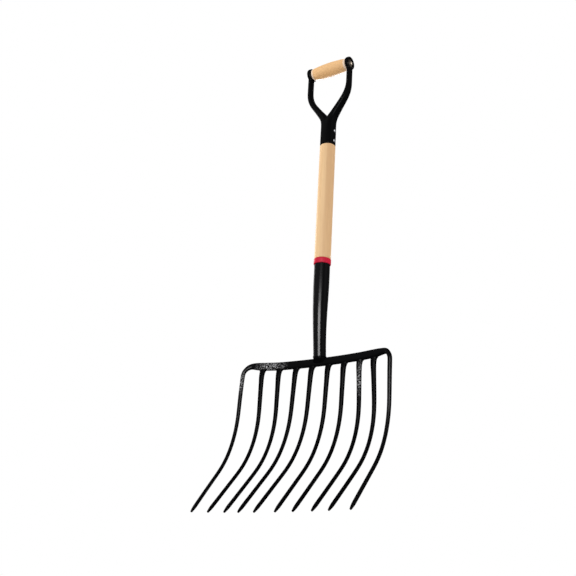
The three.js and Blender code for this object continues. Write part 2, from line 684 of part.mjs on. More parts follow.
// Pin along X with a domed head at each end, from its seat out to its crown
function headedPin(radius, head, seat, crown) {
  const shoulder = lerp(seat, crown, RIVET_SHOULDER_SHARE);
  const side = [[radius, seat], [head, seat], [head * Math.SQRT1_2, shoulder], [0, crown]];
  const mirrored = side.map(([r, x]) => [r, -x]).reverse();
  return revolve([...mirrored, ...side], "x", SMALL_ROUND_SIDES);
}

// Round-headed rivet across the socket
function makeYokeRivet(height) {
  const radius = YOKE_RIVET_DIAMETER / 2;
  const head = radius * RIVET_HEAD_SHARE;
  const seat = SOCKET_DIAMETER / 2 + CLEARANCE;
  const crown = seat + RIVET_HEAD_HEIGHT;
  return headedPin(radius, head, seat, crown).translate(0, AXIS_Y, height);
}

// Cross grip: a turned barrel, bored for the long rivet
function makeCrossGrip() {
  const bore = GRIP_RIVET_DIAMETER / 2 + CLEARANCE;
  const swell = HALF_GRIP - GRIP_CHAMFER;
  const outline = steps(GRIP_STATIONS).map((share) => {
    const x = lerp(-swell, swell, share);
    const radius = lerp(GRIP_MIDDLE_DIAMETER, GRIP_END_DIAMETER, (x / swell) ** 2) / 2;
    return [radius, x];
  });
  const end = GRIP_END_DIAMETER / 2 - GRIP_CHAMFER;
  const left = [[bore, -HALF_GRIP], [end, -HALF_GRIP]];
  const right = [[end, HALF_GRIP], [bore, HALF_GRIP]];
  const points = [...left, ...outline, ...right, left[0]];
  return revolve(points, "x", ROUND_SIDES).translate(GRIP_OFFSET, AXIS_Y, GRIP_HEIGHT);
}

const WASHER_INNER_X = ARM_INNER_X + EYE_FLOOR_THICKNESS + CLEARANCE;

function makeWasher(side) {
  const bore = GRIP_RIVET_DIAMETER / 2 + CLEARANCE;
  const outside = WASHER_DIAMETER / 2;
  const [near, far] = [WASHER_INNER_X, WASHER_INNER_X + WASHER_THICKNESS].map((x) => x * side);
  const points = [[bore, near], [outside, near], [outside, far], [bore, far], [bore, near]];
  return revolve(points, "x", SMALL_ROUND_SIDES).translate(GRIP_OFFSET, AXIS_Y, GRIP_HEIGHT);
}

// Long rivet through the cross grip and both eyes, headed over the washers
function makeGripRivet() {
  const radius = GRIP_RIVET_DIAMETER / 2;
  const head = GRIP_RIVET_HEAD_DIAMETER / 2;
  const seat = WASHER_INNER_X + WASHER_THICKNESS + CLEARANCE;
  const crown = seat + GRIP_RIVET_HEAD_HEIGHT;
  return headedPin(radius, head, seat, crown).translate(GRIP_OFFSET, AXIS_Y, GRIP_HEIGHT);
}

// Assembly
const assembly = new THREE.Group();
assembly.add(named("head_bar", makeHeadBar(), blackPaint()));
for (let i = 1; i < TINE_COUNT - 1; i++) {
  assembly.add(named(`tine_${String(i + 1).padStart(2, "0")}`, makeTine(i), blackPaint()));
}
assembly.add(named("ferrule", makeFerrule(), blackPaint()));
assembly.add(named("ferrule_weld", makeWeld(), blackPaint()));
assembly.add(named("ferrule_rivet", makeFerruleRivet(), blackPaint()));
assembly.add(named("shaft", makeShaft(), ashWood()));
assembly.add(named("collar_ring", makeCollar(), redPlastic()));
assembly.add(named("grip_yoke", makeYoke(), blackPaint()));
assembly.add(named("yoke_rivet_lower", makeYokeRivet(YOKE_RIVET_HEIGHTS[0]), bareSteel()));
assembly.add(named("yoke_rivet_upper", makeYokeRivet(YOKE_RIVET_HEIGHTS[1]), bareSteel()));
assembly.add(named("cross_grip", makeCrossGrip(), gripWood()));
assembly.add(named("grip_washer_left", makeWasher(-1), bareSteel()));
assembly.add(named("grip_washer_right", makeWasher(1), bareSteel()));
assembly.add(named("grip_rivet", makeGripRivet(), bareSteel()));

// Origin at the middle of the fork's outline, level with the lowest tine tip
const box = new THREE.Box3().setFromObject(assembly, true);
const middle = box.getCenter(new THREE.Vector3());
assembly.position.set(-middle.x, -middle.y, -box.min.z);

const fork = new THREE.Group();
fork.add(assembly);

export default fork;
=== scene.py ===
"""Ensilage fork: black forged head, tapered ferrule, ash shaft, red collar and D grip."""

import math
from functools import cache, partial

import bmesh
import bpy
from bpy.props import FloatProperty, FloatVectorProperty, IntProperty, PointerProperty, StringProperty
from mathutils import Euler, Matrix, Vector


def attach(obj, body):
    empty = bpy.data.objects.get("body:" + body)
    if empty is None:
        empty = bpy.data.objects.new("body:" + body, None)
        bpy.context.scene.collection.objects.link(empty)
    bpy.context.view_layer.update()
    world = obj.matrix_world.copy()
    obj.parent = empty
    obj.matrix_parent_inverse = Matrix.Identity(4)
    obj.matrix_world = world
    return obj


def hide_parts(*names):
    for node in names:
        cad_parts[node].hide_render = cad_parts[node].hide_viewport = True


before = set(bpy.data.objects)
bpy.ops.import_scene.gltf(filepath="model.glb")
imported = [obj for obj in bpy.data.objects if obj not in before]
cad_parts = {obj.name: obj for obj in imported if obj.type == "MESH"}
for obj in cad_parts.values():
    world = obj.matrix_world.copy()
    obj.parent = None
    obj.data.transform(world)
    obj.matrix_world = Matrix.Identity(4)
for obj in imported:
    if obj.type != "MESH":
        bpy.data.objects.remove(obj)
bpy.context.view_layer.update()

bl_info = {
    "name": "Ensilage Fork",
    "version": (1, 0, 0),
    "blender": (4, 5, 0),
    "location": "View3D > Sidebar > Fork",
    "description": "Builds a ten-tine ensilage fork piece by piece",
    "category": "Add Mesh",
}


def length(name, metres, description):
    """A size in metres, shown in the scene's units."""
    return FloatProperty(name=name, description=description, default=metres, unit="LENGTH")


def turn_angle(name, degrees, description):
    """An angle."""
    return FloatProperty(name=name, description=description, default=math.radians(degrees), subtype="ANGLE")


def share(name, value, description):
    """A plain ratio."""
    return FloatProperty(name=name, description=description, default=value)


def tint(name, code, description):
    """A colour as sRGB hex."""
    return StringProperty(name=name, description=description, default=code)


class HeadSizes(bpy.types.PropertyGroup):
    """Sizes of the head bar and its tines. Drops are measured down from the bar's centre line."""

    middle: FloatVectorProperty(
        name="Bar middle",
        description="Middle of the head bar in the fork's frame",
        default=(-0.0042936, 0.09062274, 0.37266772),
        subtype="TRANSLATION",
    )
    tine_count: IntProperty(name="Tines", description="Tines with the two outer ones", default=10)
    pitch: length("Pitch", 0.045, "Even spacing of the tines")
    drop: length("Drop", 0.371, "From the bar down to the tips")
    jog: length("Jog", 0.0055, "Step forward under the bar")
    jog_drop: length("Jog drop", 0.026, "Height of the step")
    root_lean: turn_angle("Root lean", 0.8, "Forward lean of a tine's upper part")
    tip_lean: turn_angle("Tip lean", 44.6, "Forward lean of a tine's tip")
    bend_drop: length("Bend drop", 0.110, "Where the sweep starts")
    bend_radius: length("Bend radius", 0.236, "Radius of the sweep")
    root_width: length("Root width", 0.0132, "Width of an inner tine at the bar")
    outer_root_width: length("Outer root width", 0.0112, "Width of an outer tine at the bar")
    root_thickness: length("Root thickness", 0.0102, "Tine thickness at the bar")
    tip_width: length("Tip width", 0.009, "Tine width before the point")
    tip_thickness: length("Tip thickness", 0.0078, "Tine thickness before the point")
    drawn: share("Drawn share", 0.55, "Share of the drop that is drawn down to the tip's size")
    point_length: length("Point length", 0.014, "Length that draws to the point")
    point_width: length("Point width", 0.0045, "Width of the blunt point")
    flare_width: length("Flare width", 0.0034, "Extra width where a tine is welded on")
    flare_length: length("Flare length", 0.055, "Height of that spread")
    weld: length("Weld", 0.006, "Height of the weld that fills the corner between bar and tine")
    weld_depth: length("Weld depth", 0.0014, "How far that weld bites into the bar's rounded edge")
    splay: share("Splay", 0.024, "Share by which the tips spread")
    bar_height: length("Bar height", 0.020, "Height of the head bar")
    bar_thickness: length("Bar thickness", 0.009, "Thickness of the head bar")
    bar_bow: length("Bar bow", 0.022, "How far the bar's ends stand forward")
    corner_radius: length("Corner radius", 0.022, "Bend from the bar into the outer tines")
    bar_lift: length("Bar lift", 0.004, "How far the left end of the bar rises above its middle")
    bar_level: share("Bar level", 0.58, "Share of the bar that is level")


class HandleSizes(bpy.types.PropertyGroup):
    """Sizes of the ferrule, shaft, yoke and grip. Heights are measured up from the bar's centre line."""

    shaft_diameter: length("Shaft diameter", 0.0415, "Diameter of the ash shaft over the collar")
    shaft_top_diameter: length("Shaft top diameter", 0.0405, "Diameter of the ash shaft under the yoke")
    lean: turn_angle("Foot lean", 4.9, "Forward lean of the shaft's foot")
    bend_start: length("Bend start", 0.050, "Where the foot starts to bend upright")
    bend_length: length("Bend length", 0.096, "Height of that bend")
    foot: length("Shaft foot", 0.060, "Lower end of the wood inside the ferrule")
    sheet: length("Sheet", 0.0012, "Sheet steel of the ferrule")
    fit: length("Fit", 0.0003, "Clearance between neighbours")
    ferrule_foot: length("Ferrule foot", 0.0128, "Lower end of the ferrule")
    ferrule_top: length("Ferrule top", 0.248, "Upper end of the ferrule")
    ferrule_foot_diameter: length("Ferrule foot diameter", 0.031, "Outer diameter at the foot")
    ferrule_top_diameter: length("Ferrule top diameter", 0.0394, "Outer diameter at the top")
    taper_start: length("Taper start", 0.020, "Where the ferrule starts to open")
    taper_end: length("Taper end", 0.215, "Where the ferrule is fully open")
    collar_height: length("Collar height", 0.014, "Height of the red collar")
    collar_diameter: length("Collar diameter", 0.0434, "Outer diameter of the collar")
    rim: length("Socket rim", 0.581, "Lower rim of the yoke's socket")
    socket_diameter: length("Socket diameter", 0.0397, "Outer diameter of the yoke's socket")
    seat: length("Seat", 0.054, "Depth of the shaft's seat in the socket")
    end_taper: length("End taper", 0.014, "Height of the taper at the shaft's end")
    end_narrowing: length("End narrowing", 0.004, "How far that taper draws in on each side")
    parting: length("Parting", 0.042, "Height of the round socket")
    arm_radius: length("Arm bend radius", 0.080, "Radius of both bends of an arm")
    arm_angle: turn_angle("Arm bend", 36, "How far an arm turns outwards")
    necking: length("Necking", 0.060, "Height in which an arm draws in from the socket")
    arm_foot_depth: length("Arm foot depth", 0.021, "Arm size across the fork over the socket")
    arm_foot_width: length("Arm foot width", 0.031, "Arm size from front to back over the socket")
    arm_depth: length("Arm depth", 0.013, "Arm size across the fork at the eye")
    arm_width: length("Arm width", 0.019, "Arm size from front to back at the eye")
    upright: length("Arm upright", 0.0571, "Straight upper part up to the eye's centre")
    channel_wall: length("Channel wall", 0.0018, "Wall left round the channel in an arm's back")
    channel_start: length("Channel start", 0.072, "Where the channels start above the parting")
    seam_width: length("Seam width", 0.0016, "Width of the seam down the socket's back")
    grip_offset: length("Grip offset", -0.0026, "Sideways place of the grip")
    grip_length: length("Grip length", 0.108, "Length of the cross grip")
    grip_middle: length("Grip middle", 0.038, "Diameter at the middle")
    grip_end: length("Grip end", 0.031, "Diameter at the ends")
    eye_diameter: length("Eye diameter", 0.036, "Outer diameter of an eye")
    eye_depth: length("Eye depth", 0.011, "Depth of an eye along the grip")
    dish_floor: length("Dish floor", 0.0026, "Steel left under the dish of an eye")
    washer: length("Washer", 0.0012, "Thickness of a washer")
    pin_radius: length("Pin radius", 0.003, "Radius of the long rivet's pin")


class Finishes(bpy.types.PropertyGroup):
    """Colours of the finishes, as sRGB hex."""

    enamel: tint("Enamel", "040405", "Black enamel on all the forged and pressed steel")
    ash_light: tint("Ash, light", "EBC697", "Early wood of the shaft")
    ash_dark: tint("Ash, dark", "DAB184", "Late wood of the shaft")
    grip_light: tint("Grip, light", "ECC08C", "Early wood of the cross grip")
    # Also painted as shade along the grip's underside
    grip_dark: tint("Grip, dark", "E4B27A", "Late wood of the cross grip")
    end_grain: tint("End grain", "F3DCC6", "Bare end of the turned grip")
    collar: tint("Collar", "C41C39", "Moulded collar")
    # Grey of the painted glints, flecks of painted highlight on the enamel
    glint_grey: tint("Glinting enamel", "C6C6C8", "Where the enamel is rubbed")
    steel: tint("Steel", "6A6B6E", "Dull steel of the socket's rivets")
    # Darker, browner steel: painted shade for the steel down in the dishes
    shade_darkened_steel: tint("Darkened steel", "4C463F", "Steel of the long rivet, its washers and the rubbed dishes")
    floor: tint("Floor", "EDEDED", "Studio floor")


# Shaping helpers


def linear(code):
    """Linear colour of an sRGB hex."""
    parts = [int(code[i : i + 2], 16) / 255 for i in (0, 2, 4)]
    return [p / 12.92 if p <= 0.04045 else ((p + 0.055) / 1.055) ** 2.4 for p in parts] + [1]


def clamp(value, low=0, high=1):
    return max(low, min(value, high))


def lerp(a, b, t):
    return a + (b - a) * t


def eased(t):
    """Level at both ends."""
    return t * t * (3 - 2 * t)


def steps(first, last, count):
    """Even places from first to last."""
    return [lerp(first, last, i / count) for i in range(count + 1)]


def clear_selection():
    if bpy.context.object and bpy.context.object.mode != "OBJECT":
        bpy.ops.object.mode_set(mode="OBJECT")
    bpy.ops.object.select_all(action="DESELECT")


def pick(piece):
    """Makes a piece the only selected and active one."""
    clear_selection()
    piece.select_set(True)
    bpy.context.view_layer.objects.active = piece


def edit_all():
    """Opens the active piece in edit mode, all selected."""
    bpy.ops.object.mode_set(mode="EDIT")
    bpy.ops.mesh.select_all(action="SELECT")


def place_in_mesh():
    """Puts a new piece's place, turn and scale into its mesh."""
    bpy.ops.object.transform_apply(location=True, rotation=True, scale=True)
    return bpy.context.object


def add_modifier(piece, kind, **settings):
    """Adds a modifier and applies it."""
    pick(piece)
    modifier = piece.modifiers.new(kind.title(), kind)
    for name, value in settings.items():
        setattr(modifier, name, value)
    bpy.ops.object.modifier_apply(modifier=modifier.name)


def tidy(piece, angle=35):
    """Merges doubles, turns all faces outwards and smooths the shading."""
    pick(piece)
    edit_all()
    bpy.ops.mesh.remove_doubles(threshold=1e-6)
    bpy.ops.mesh.normals_make_consistent(inside=False)
    bpy.ops.object.mode_set(mode="OBJECT")
    bpy.ops.object.shade_smooth_by_angle(angle=math.radians(angle))


def settle(piece, name, nodes, material):
    """Names a finished piece, gives it its finish and lets it stand for its CAD nodes."""
    piece.name = name
    piece.data.name = name
    piece.data.materials.clear()
    piece.data.materials.append(material)
    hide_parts(*nodes)
    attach(piece, "root")
    clear_selection()
    return piece


def join(pieces):
    """Joins pieces into the first."""
    clear_selection()
    for piece in pieces:
        piece.select_set(True)
    bpy.context.view_layer.objects.active = pieces[0]
    bpy.ops.object.join()
    return pieces[0]


def section_axes(run):
    """Side, front and run of a section across a path, with its front to the fork's front."""
    run = run.normalized()
    front = Vector((0, -1, 0))
    front = (front - run * front.dot(run)).normalized()
    return Matrix((front.cross(run), front, run)).transposed()


def turn_selection(turn, centre):
    """Turns what is selected about a point. With no window the operator turns the other way."""
    for axis, angle in zip("XYZ", turn.to_euler("XYZ")):
        if abs(angle) > 1e-8:
            bpy.ops.transform.rotate(
                value=-angle, orient_axis=axis, orient_type="GLOBAL", center_override=centre
            )


def crease_walls(piece, amount):
    """Creases the long edges that lead to the selected end of the stock."""
    shape = bmesh.from_edit_mesh(piece.data)
    layer = shape.edges.layers.float.get("crease_edge") or shape.edges.layers.float.new("crease_edge")
    for edge in shape.edges:
        if edge.verts[0].select != edge.verts[1].select:
            edge[layer] = amount
    bmesh.update_edit_mesh(piece.data)


def crease_ends(piece, centres):
    """Creases the edges of the faces at these centres, so that they stay flat."""
    shape = bmesh.from_edit_mesh(piece.data)
    layer = shape.edges.layers.float["crease_edge"]
    for face in shape.faces:
        middle = face.calc_center_median()
        if any((middle - centre).length < 1e-5 for centre in centres):
            for edge in face.edges:
                edge[layer] = 1
    bmesh.update_edit_mesh(piece.data)


def try_crease(crease):
    """Draws out a trial bar 2 units thick whose long edges have this crease, and rounds it.

    Gives the crease, the extent that is left of half the thickness, and the corners' share of full
    roundness, rounded off to digits that show.
    """
    clear_selection()
    bpy.ops.mesh.primitive_plane_add(size=2)
    bar = bpy.context.object
    edit_all()
    for _ in range(8):
        bpy.ops.mesh.extrude_region_move(TRANSFORM_OT_translate={"value": (0, 0, 1)})
        crease_walls(bar, crease)
    bpy.ops.object.mode_set(mode="OBJECT")
    add_modifier(bar, "SUBSURF", levels=3, render_levels=3)
    middle = [v.co for v in bar.data.vertices if abs(v.co.z - 4) < 0.01]
    extent = max(point.x for point in middle)
    # 2 for a square and the root of 2 for a circle
    corner = max(abs(point.x) + abs(point.y) for point in middle) / extent
    bpy.data.objects.remove(bar)
    return crease, round(extent, 4), round((2 - corner) / (2 - math.sqrt(2)), 3)


@cache
def trials():
    """Trial bars from fully round to nearly square, made once."""
    return [try_crease(tenths / 10) for tenths in range(7)]


def rounding(roundness):
    """Crease and shrinkage that give a section's corners this share of full roundness."""
    for (crease, extent, high), (next_crease, next_extent, low) in zip(trials(), trials()[1:]):
        if roundness >= low:
            t = clamp((high - roundness) / (high - low))
            return lerp(crease, next_crease, t), lerp(extent, next_extent, t)
    return trials()[-1][:2]


def forge(stations, levels=3, flat_ends=()):
    """Draws square stock out along stations and rounds it.

    A station is centre, run, width, thickness and roundness. Width lies sideways.
    """
    clear_selection()
    axes = None
    for centre, run, width, thickness, roundness in stations:
        crease, extent = rounding(roundness)
        width, thickness = width / extent, thickness / extent
        if axes is None:
            axes = section_axes(run)
            bpy.ops.mesh.primitive_plane_add(size=1, location=centre, rotation=axes.to_euler())
            bpy.context.object.scale = (width, thickness, 1)
            stock = place_in_mesh()
            edit_all()
        else:
            bpy.ops.mesh.extrude_region_move(TRANSFORM_OT_translate={"value": centre - last[0]})
            turned = section_axes(run)
            turn_selection(turned @ axes.transposed(), centre)
            axes = turned
            bpy.ops.transform.resize(
                value=(width / last[1], thickness / last[2], 1),
                orient_type="GLOBAL",
                orient_matrix=axes,
                orient_matrix_type="GLOBAL",
                center_override=centre,
            )
            crease_walls(stock, crease)
        last = (centre, width, thickness)
    if flat_ends:
        crease_ends(stock, [station[0] for station in flat_ends])
    tidy(stock)
    add_modifier(stock, "SUBSURF", levels=levels, render_levels=levels)
    tidy(stock)
    return stock


def arc(centre, size, first, last, count):
    """Points of a profile along an arc or part of an ellipse, from one angle in degrees to another."""
    turns = steps(math.radians(first), math.radians(last), count)
    return [(centre[0] + size[0] * math.cos(t), centre[1] + size[1] * math.sin(t)) for t in turns]


def turned(profile, axis, centre, sides=64):
    """Turns a profile of (radius, place along the axis) about a line along X or Z.

    The profile starts and ends on the line, or closes on itself.
    """
    clear_selection()
    out = Vector((0, 0, 1)) if axis == "X" else Vector((1, 0, 0))
    along = Vector((1, 0, 0)) if axis == "X" else Vector((0, 0, 1))
    points = [centre + out * radius + along * place for radius, place in profile]
    bpy.ops.mesh.primitive_plane_add(size=1e-3)
    piece = bpy.context.object
    edit_all()
    bpy.ops.mesh.merge(type="CENTER")
    bpy.ops.transform.translate(value=points[0])
    for here, there in zip(points, points[1:]):
        bpy.ops.mesh.extrude_vertices_move(TRANSFORM_OT_translate={"value": there - here})
    bpy.ops.mesh.select_all(action="SELECT")
    bpy.ops.mesh.spin(steps=sides, angle=2 * math.pi, center=centre, axis=along)
    bpy.ops.object.mode_set(mode="OBJECT")
    tidy(piece)
    return piece


def tube(rings, sides=64):
    """A round tube along the shaft's bent axis, through rings of height and radius, with open ends."""
    clear_selection()
    height, radius = rings[0]
    centre, lean = shaft_axis(height)
    place = {"location": centre, "rotation": (lean, 0, 0)}
    bpy.ops.mesh.primitive_circle_add(vertices=sides, radius=radius, **place)
    piece = place_in_mesh()
    edit_all()
    for height, next_radius in rings[1:]:
        there, next_lean = shaft_axis(height)
        bpy.ops.mesh.extrude_region_move(TRANSFORM_OT_translate={"value": there - centre})
        turn_selection(Matrix.Rotation(next_lean - lean, 3, "X"), there)
        bpy.ops.transform.resize(value=[next_radius / radius] * 3, center_override=there)
        centre, lean, radius = there, next_lean, next_radius
    bpy.ops.object.mode_set(mode="OBJECT")
    return piece


def cap_ends(piece):
    """Closes the open rims of a tube."""
    pick(piece)
    bpy.ops.object.mode_set(mode="EDIT")
    bpy.ops.mesh.select_all(action="DESELECT")
    bpy.ops.mesh.select_mode(type="EDGE")
    bpy.ops.mesh.select_non_manifold()
    bpy.ops.mesh.edge_face_add()
    bpy.ops.mesh.select_mode(type="VERT")
    bpy.ops.object.mode_set(mode="OBJECT")


# The fork's own lines

# Each tine is hammered to its set by hand: its root and tip stand this share of a pitch off
# their even places, and it bellies forward by this share of its reach.
ROOT_OFFSETS = (-0.11, 0, 0.03, 0.09, 0.08, 0.12, 0.11, 0.09, -0.01, 0.085)
TIP_OFFSETS = (0.3, 0.15, 0.03, -0.21, -0.32, -0.12, -0.1, 0, -0.03, 0.2)
BELLIES = (0.08, 0, -0.01, 0.01, 0, 0.01, -0.01, -0.06, -0.08, 0.02)
# Share of the bar's lift at its left and right end
LIFTS = (1, 0.4)
# How round the corners of a section are. Tines and socket are as round as the stock gets.
FULL_ROUNDNESS, BAR_ROUNDNESS, ARM_ROUNDNESS, CHANNEL_ROUNDNESS = 0.93, 0.55, 0.8, 0.3
# Places of the stations as shares of a weld's height and of a point's length
WELD_PLACES = (0, 0.12, 0.3, 0.55)
POINT_PLACES = (0.25, 0.5, 0.72, 0.88, 0.97, 1)
# How far a cutter runs past the steel that it cuts
PAST = 0.002


def head():
    return bpy.context.scene.fork_head


def handle():
    return bpy.context.scene.fork_handle


def finishes():
    return bpy.context.scene.fork_finishes


def bar_middle():
    return Vector(head().middle)


def half_span():
    return head().pitch * (head().tine_count - 1) / 2


def bar_y(x):
    """Place of the bar's centre line in front of its middle."""
    return -head().bar_bow * (x / half_span()) ** 2


def bar_lift(x):
    """Height of the bar's centre line above its middle."""
    h = head()
    beyond = clamp((abs(x) / half_span() - h.bar_level) / (1 - h.bar_level))
    return h.bar_lift * LIFTS[0 if x < 0 else 1] * beyond


def tine_reach(drop):
    """Forward reach at a drop: a jog, a straight, an arc and a straight tip."""
    h = head()
    jog = h.jog * eased(clamp(drop / h.jog_drop))
    arc_drop = h.bend_radius * (math.sin(h.tip_lean) - math.sin(h.root_lean))
    in_arc = clamp(drop - h.bend_drop, 0, arc_drop)
    lean = math.asin(math.sin(h.root_lean) + in_arc / h.bend_radius)
    straight = min(drop, h.bend_drop) * math.tan(h.root_lean)
    past = max(drop - h.bend_drop - arc_drop, 0) * math.tan(h.tip_lean)
    return jog + straight + h.bend_radius * (math.cos(h.root_lean) - math.cos(lean)) + past


def tine_point(i, drop):
    """Centre of tine number i at a drop, in the fork's frame."""
    h = head()
    t = drop / h.drop
    even = i - (h.tine_count - 1) / 2
    root = even + ROOT_OFFSETS[i]
    tip = (even + TIP_OFFSETS[i]) * (1 + h.splay)
    belly = BELLIES[i] * tine_reach(h.drop) * math.sin(math.pi * t)
    y = bar_y(root * h.pitch) - tine_reach(drop) - belly
    return bar_middle() + Vector((h.pitch * lerp(root, tip, t), y, -drop))


def tine_stations(i, top, flared):
    """Stations down a tine from a drop to its point."""
    h = head()
    shoulder, blunting = h.drop - h.point_length, 1.6
    root_width = h.root_width if flared else h.outer_root_width
    drops = [top + t * h.weld for t in WELD_PLACES] if flared else []
    drops += steps(top + h.weld, top + h.flare_length, 6)[:-1] if flared else []
    start = top + h.flare_length if flared else top
    drops += steps(start, shoulder, 18)
    drops += [lerp(shoulder, h.drop, t) for t in POINT_PLACES]
    stations = []
    for drop in drops:
        t = drop / h.drop
        pointing = clamp((drop - shoulder) / h.point_length) ** blunting
        spread = clamp(1 - (drop - top) / h.flare_length) ** 2 if flared else 0
        drawn = min(t / h.drawn, 1)
        bead = clamp(1 - (drop - top) / h.weld) ** 2 * h.weld if flared else 0
        width = lerp(root_width, h.tip_width, drawn) + h.flare_width * spread + bead
        thickness = lerp(h.root_thickness, h.tip_thickness, drawn)
        thickness = lerp(thickness, min(thickness, h.bar_thickness), spread)
        width, thickness = [lerp(size, h.point_width, pointing) for size in (width, thickness)]
        run = tine_point(i, min(drop + 1e-3, h.drop)) - tine_point(i, min(drop, h.drop - 1e-3))
        if flared and drop == top:
            run = Vector((0, 0, -1))
        stations.append((tine_point(i, drop), run, width, thickness + bead / 2, FULL_ROUNDNESS))
    return stations


def shaft_axis(height):
    """Centre and lean of the shaft's axis at a height above the bar, in the fork's frame."""
    s = handle()
    past = clamp((height - s.bend_start) / s.bend_length)
    y = -min(height, s.bend_start) * math.tan(s.lean) - s.lean * s.bend_length * (past - past**2 / 2)
    return bar_middle() + Vector((0, y, height)), s.lean * (1 - past)


def upright_foot():
    """Where the shaft's upright axis, carried straight on down, comes to the height of the bar."""
    rim = handle().rim
    return shaft_axis(rim)[0] - Vector((0, 0, rim))


def ferrule_radius(height):
    s = handle()
    t = clamp((height - s.taper_start) / (s.taper_end - s.taper_start))
    return lerp(s.ferrule_foot_diameter, s.ferrule_top_diameter, eased(t)) / 2


def arm_stations(side):
    """Stations of one arm from the socket's rim up to its eye. Side is 1 or -1 along X."""
    s = handle()
    start, top, out = s.rim + s.parting, grip_height() - s.upright, arm_centre_x()
    below_centre = 0.01575
    path = [(0, height) for height in steps(s.rim, start, 4)]
    for turn in steps(0, s.arm_angle, 8)[1:]:
        path.append((s.arm_radius * (1 - math.cos(turn)), start + s.arm_radius * math.sin(turn)))
    path.append((out / 2, (start + top) / 2))
    for turn in steps(s.arm_angle, 0, 8):
        path.append((out - s.arm_radius * (1 - math.cos(turn)), top - s.arm_radius * math.sin(turn)))
    path += [(out, height) for height in steps(top, grip_height() - below_centre, 4)[1:]]
    stations = []
    for n, (x, height) in enumerate(path):
        drawn_in = eased(clamp((height - start) / s.necking))
        up = clamp((height - start) / (top - start))
        depth = lerp(s.socket_diameter, lerp(s.arm_foot_depth, s.arm_depth, up), drawn_in)
        width = lerp(s.socket_diameter, lerp(s.arm_foot_width, s.arm_width, up), drawn_in)
        roundness = lerp(FULL_ROUNDNESS, ARM_ROUNDNESS, drawn_in)
        before, after = path[max(n - 1, 0)], path[min(n + 1, len(path) - 1)]
        run = Vector(((after[0] - before[0]) * side, 0, after[1] - before[1]))
        shift = s.grip_offset * eased(clamp((height - start) / (top - start)))
        centre = shaft_axis(height)[0] + Vector((side * x + shift, 0, 0))
        stations.append((centre, run, depth, width, roundness))
    return stations


def arm_centre_x():
    s = handle()
    return s.grip_length / 2 + s.fit + s.arm_depth / 2


def grip_height():
    """Height of the cross grip's axis above the bar."""
    s = handle()
    reach = s.arm_radius * (1 - math.cos(s.arm_angle))
    rise = s.arm_radius * math.sin(s.arm_angle)
    slope = (arm_centre_x() - 2 * reach) / math.tan(s.arm_angle)
    return s.rim + s.parting + 2 * rise + slope + s.upright


def grip_centre():
    return shaft_axis(grip_height())[0] + Vector((handle().grip_offset, 0, 0))


# Finishes

# Sockets of a Mix node that mixes colours
FACTOR, FIRST, SECOND = 0, 6, 7
MULTIPLY = {"data_type": "RGBA", "blend_type": "MULTIPLY"}


def add_node(tree, kind, inputs=None, **settings):
    """Adds a shader node with its settings. An input is a value, a socket or a node to link."""
    node = tree.nodes.new("ShaderNode" + kind)
    for name, value in settings.items():
        setattr(node, name, value)
    for name, value in (inputs or {}).items():
        if isinstance(value, bpy.types.Node):
            value = next(output for output in value.outputs if output.enabled)
        if isinstance(value, bpy.types.NodeSocket):
            tree.links.new(value, node.inputs[name])
        else:
            node.inputs[name].default_value = value
    return node


def finish(name, lay, **details):
    """The material of this name, whose nodes are laid the first time that it is asked for."""
    material = bpy.data.materials.get(name)
    if material is None:
        material = bpy.data.materials.new(name)
        material.use_nodes = True
        material.node_tree.nodes.clear()
        add = partial(add_node, material.node_tree)
        shader = lay(add, add("TexCoord").outputs["Object"], **details)
        add("OutputMaterial", {"Surface": shader})
    return material


def enamel(add, place, coat, roughness, hammering, peeling, scuffs=()):
    """Black enamel, dipped and baked over steel.

    It gives the eye a deep black with soft highlights, which ripple where the paint lies over
    hammer marks. Painted glints are places and reaches of patches of painted highlight in grey flecks.
    """
    looks = finishes()
    # Hammer marks about 9 mm across, and the paint's orange peel, drawn 1.6 mm across, which is
    # coarser than life
    hammered = add("TexNoise", {"Vector": place, "Scale": 110, "Detail": 2})
    peel = add("TexNoise", {"Vector": place, "Scale": 620, "Detail": 3})
    marks = add("Bump", {"Height": hammered, "Strength": hammering, "Distance": 0.0006})
    skin = add("Bump", {"Height": peel, "Strength": peeling, "Distance": 0.0002, "Normal": marks})
    tone = add("MapRange", {"Value": peel, "To Min": 0.7, "To Max": 1.4})
    colour = add("Mix", {FACTOR: 1, FIRST: linear(looks.enamel), SECOND: tone}, **MULTIPLY)
    # Flecks about 3 mm across, for the painted glints
    flecks = add("TexNoise", {"Vector": place, "Scale": 330, "Detail": 2})
    flecks = add("MapRange", {"Value": flecks, "From Min": 0.48, "From Max": 0.62})
    grey = linear(looks.glint_grey)
    # Each patch paints grey flecks into the colour: painted highlights
    for centre, reach in scuffs:
        spot = {"Vector": place, "Location": centre, "Scale": reach}
        patch = add("Mapping", spot, vector_type="TEXTURE")
        patch = add("TexGradient", {"Vector": patch}, gradient_type="SPHERICAL").outputs["Fac"]
        glinting = add("Math", {0: patch, 1: flecks}, operation="MULTIPLY")
        colour = add("Mix", {FACTOR: glinting, FIRST: colour, SECOND: grey}, data_type="RGBA")
    gloss = {"Coat Weight": coat, "Coat Roughness": roughness, "Coat IOR": 1.5, "Coat Normal": skin}
    paint = {"Base Color": colour, "Normal": skin, "Roughness": 0.5, "Specular IOR Level": 0}
    return add("BsdfPrincipled", paint | gloss)


def forged_enamel():
    """Enamel over the hammered bar and neck. The left shoulder and left tine have painted glints: grey
    flecks as highlights.
    """
    shoulder = bar_middle() + Vector((-0.134, -0.016, 0.001))
    tine = bar_middle() + Vector((-0.2085, -0.03, -0.04))
    scuffs = [(shoulder, (0.05, 0.03, 0.015)), (tine, (0.012, 0.03, 0.045))]
    ripple = {"hammering": 0.3, "peeling": 0.06}
    return finish("forged_enamel", enamel, coat=0.03, roughness=0.3, scuffs=scuffs, **ripple)


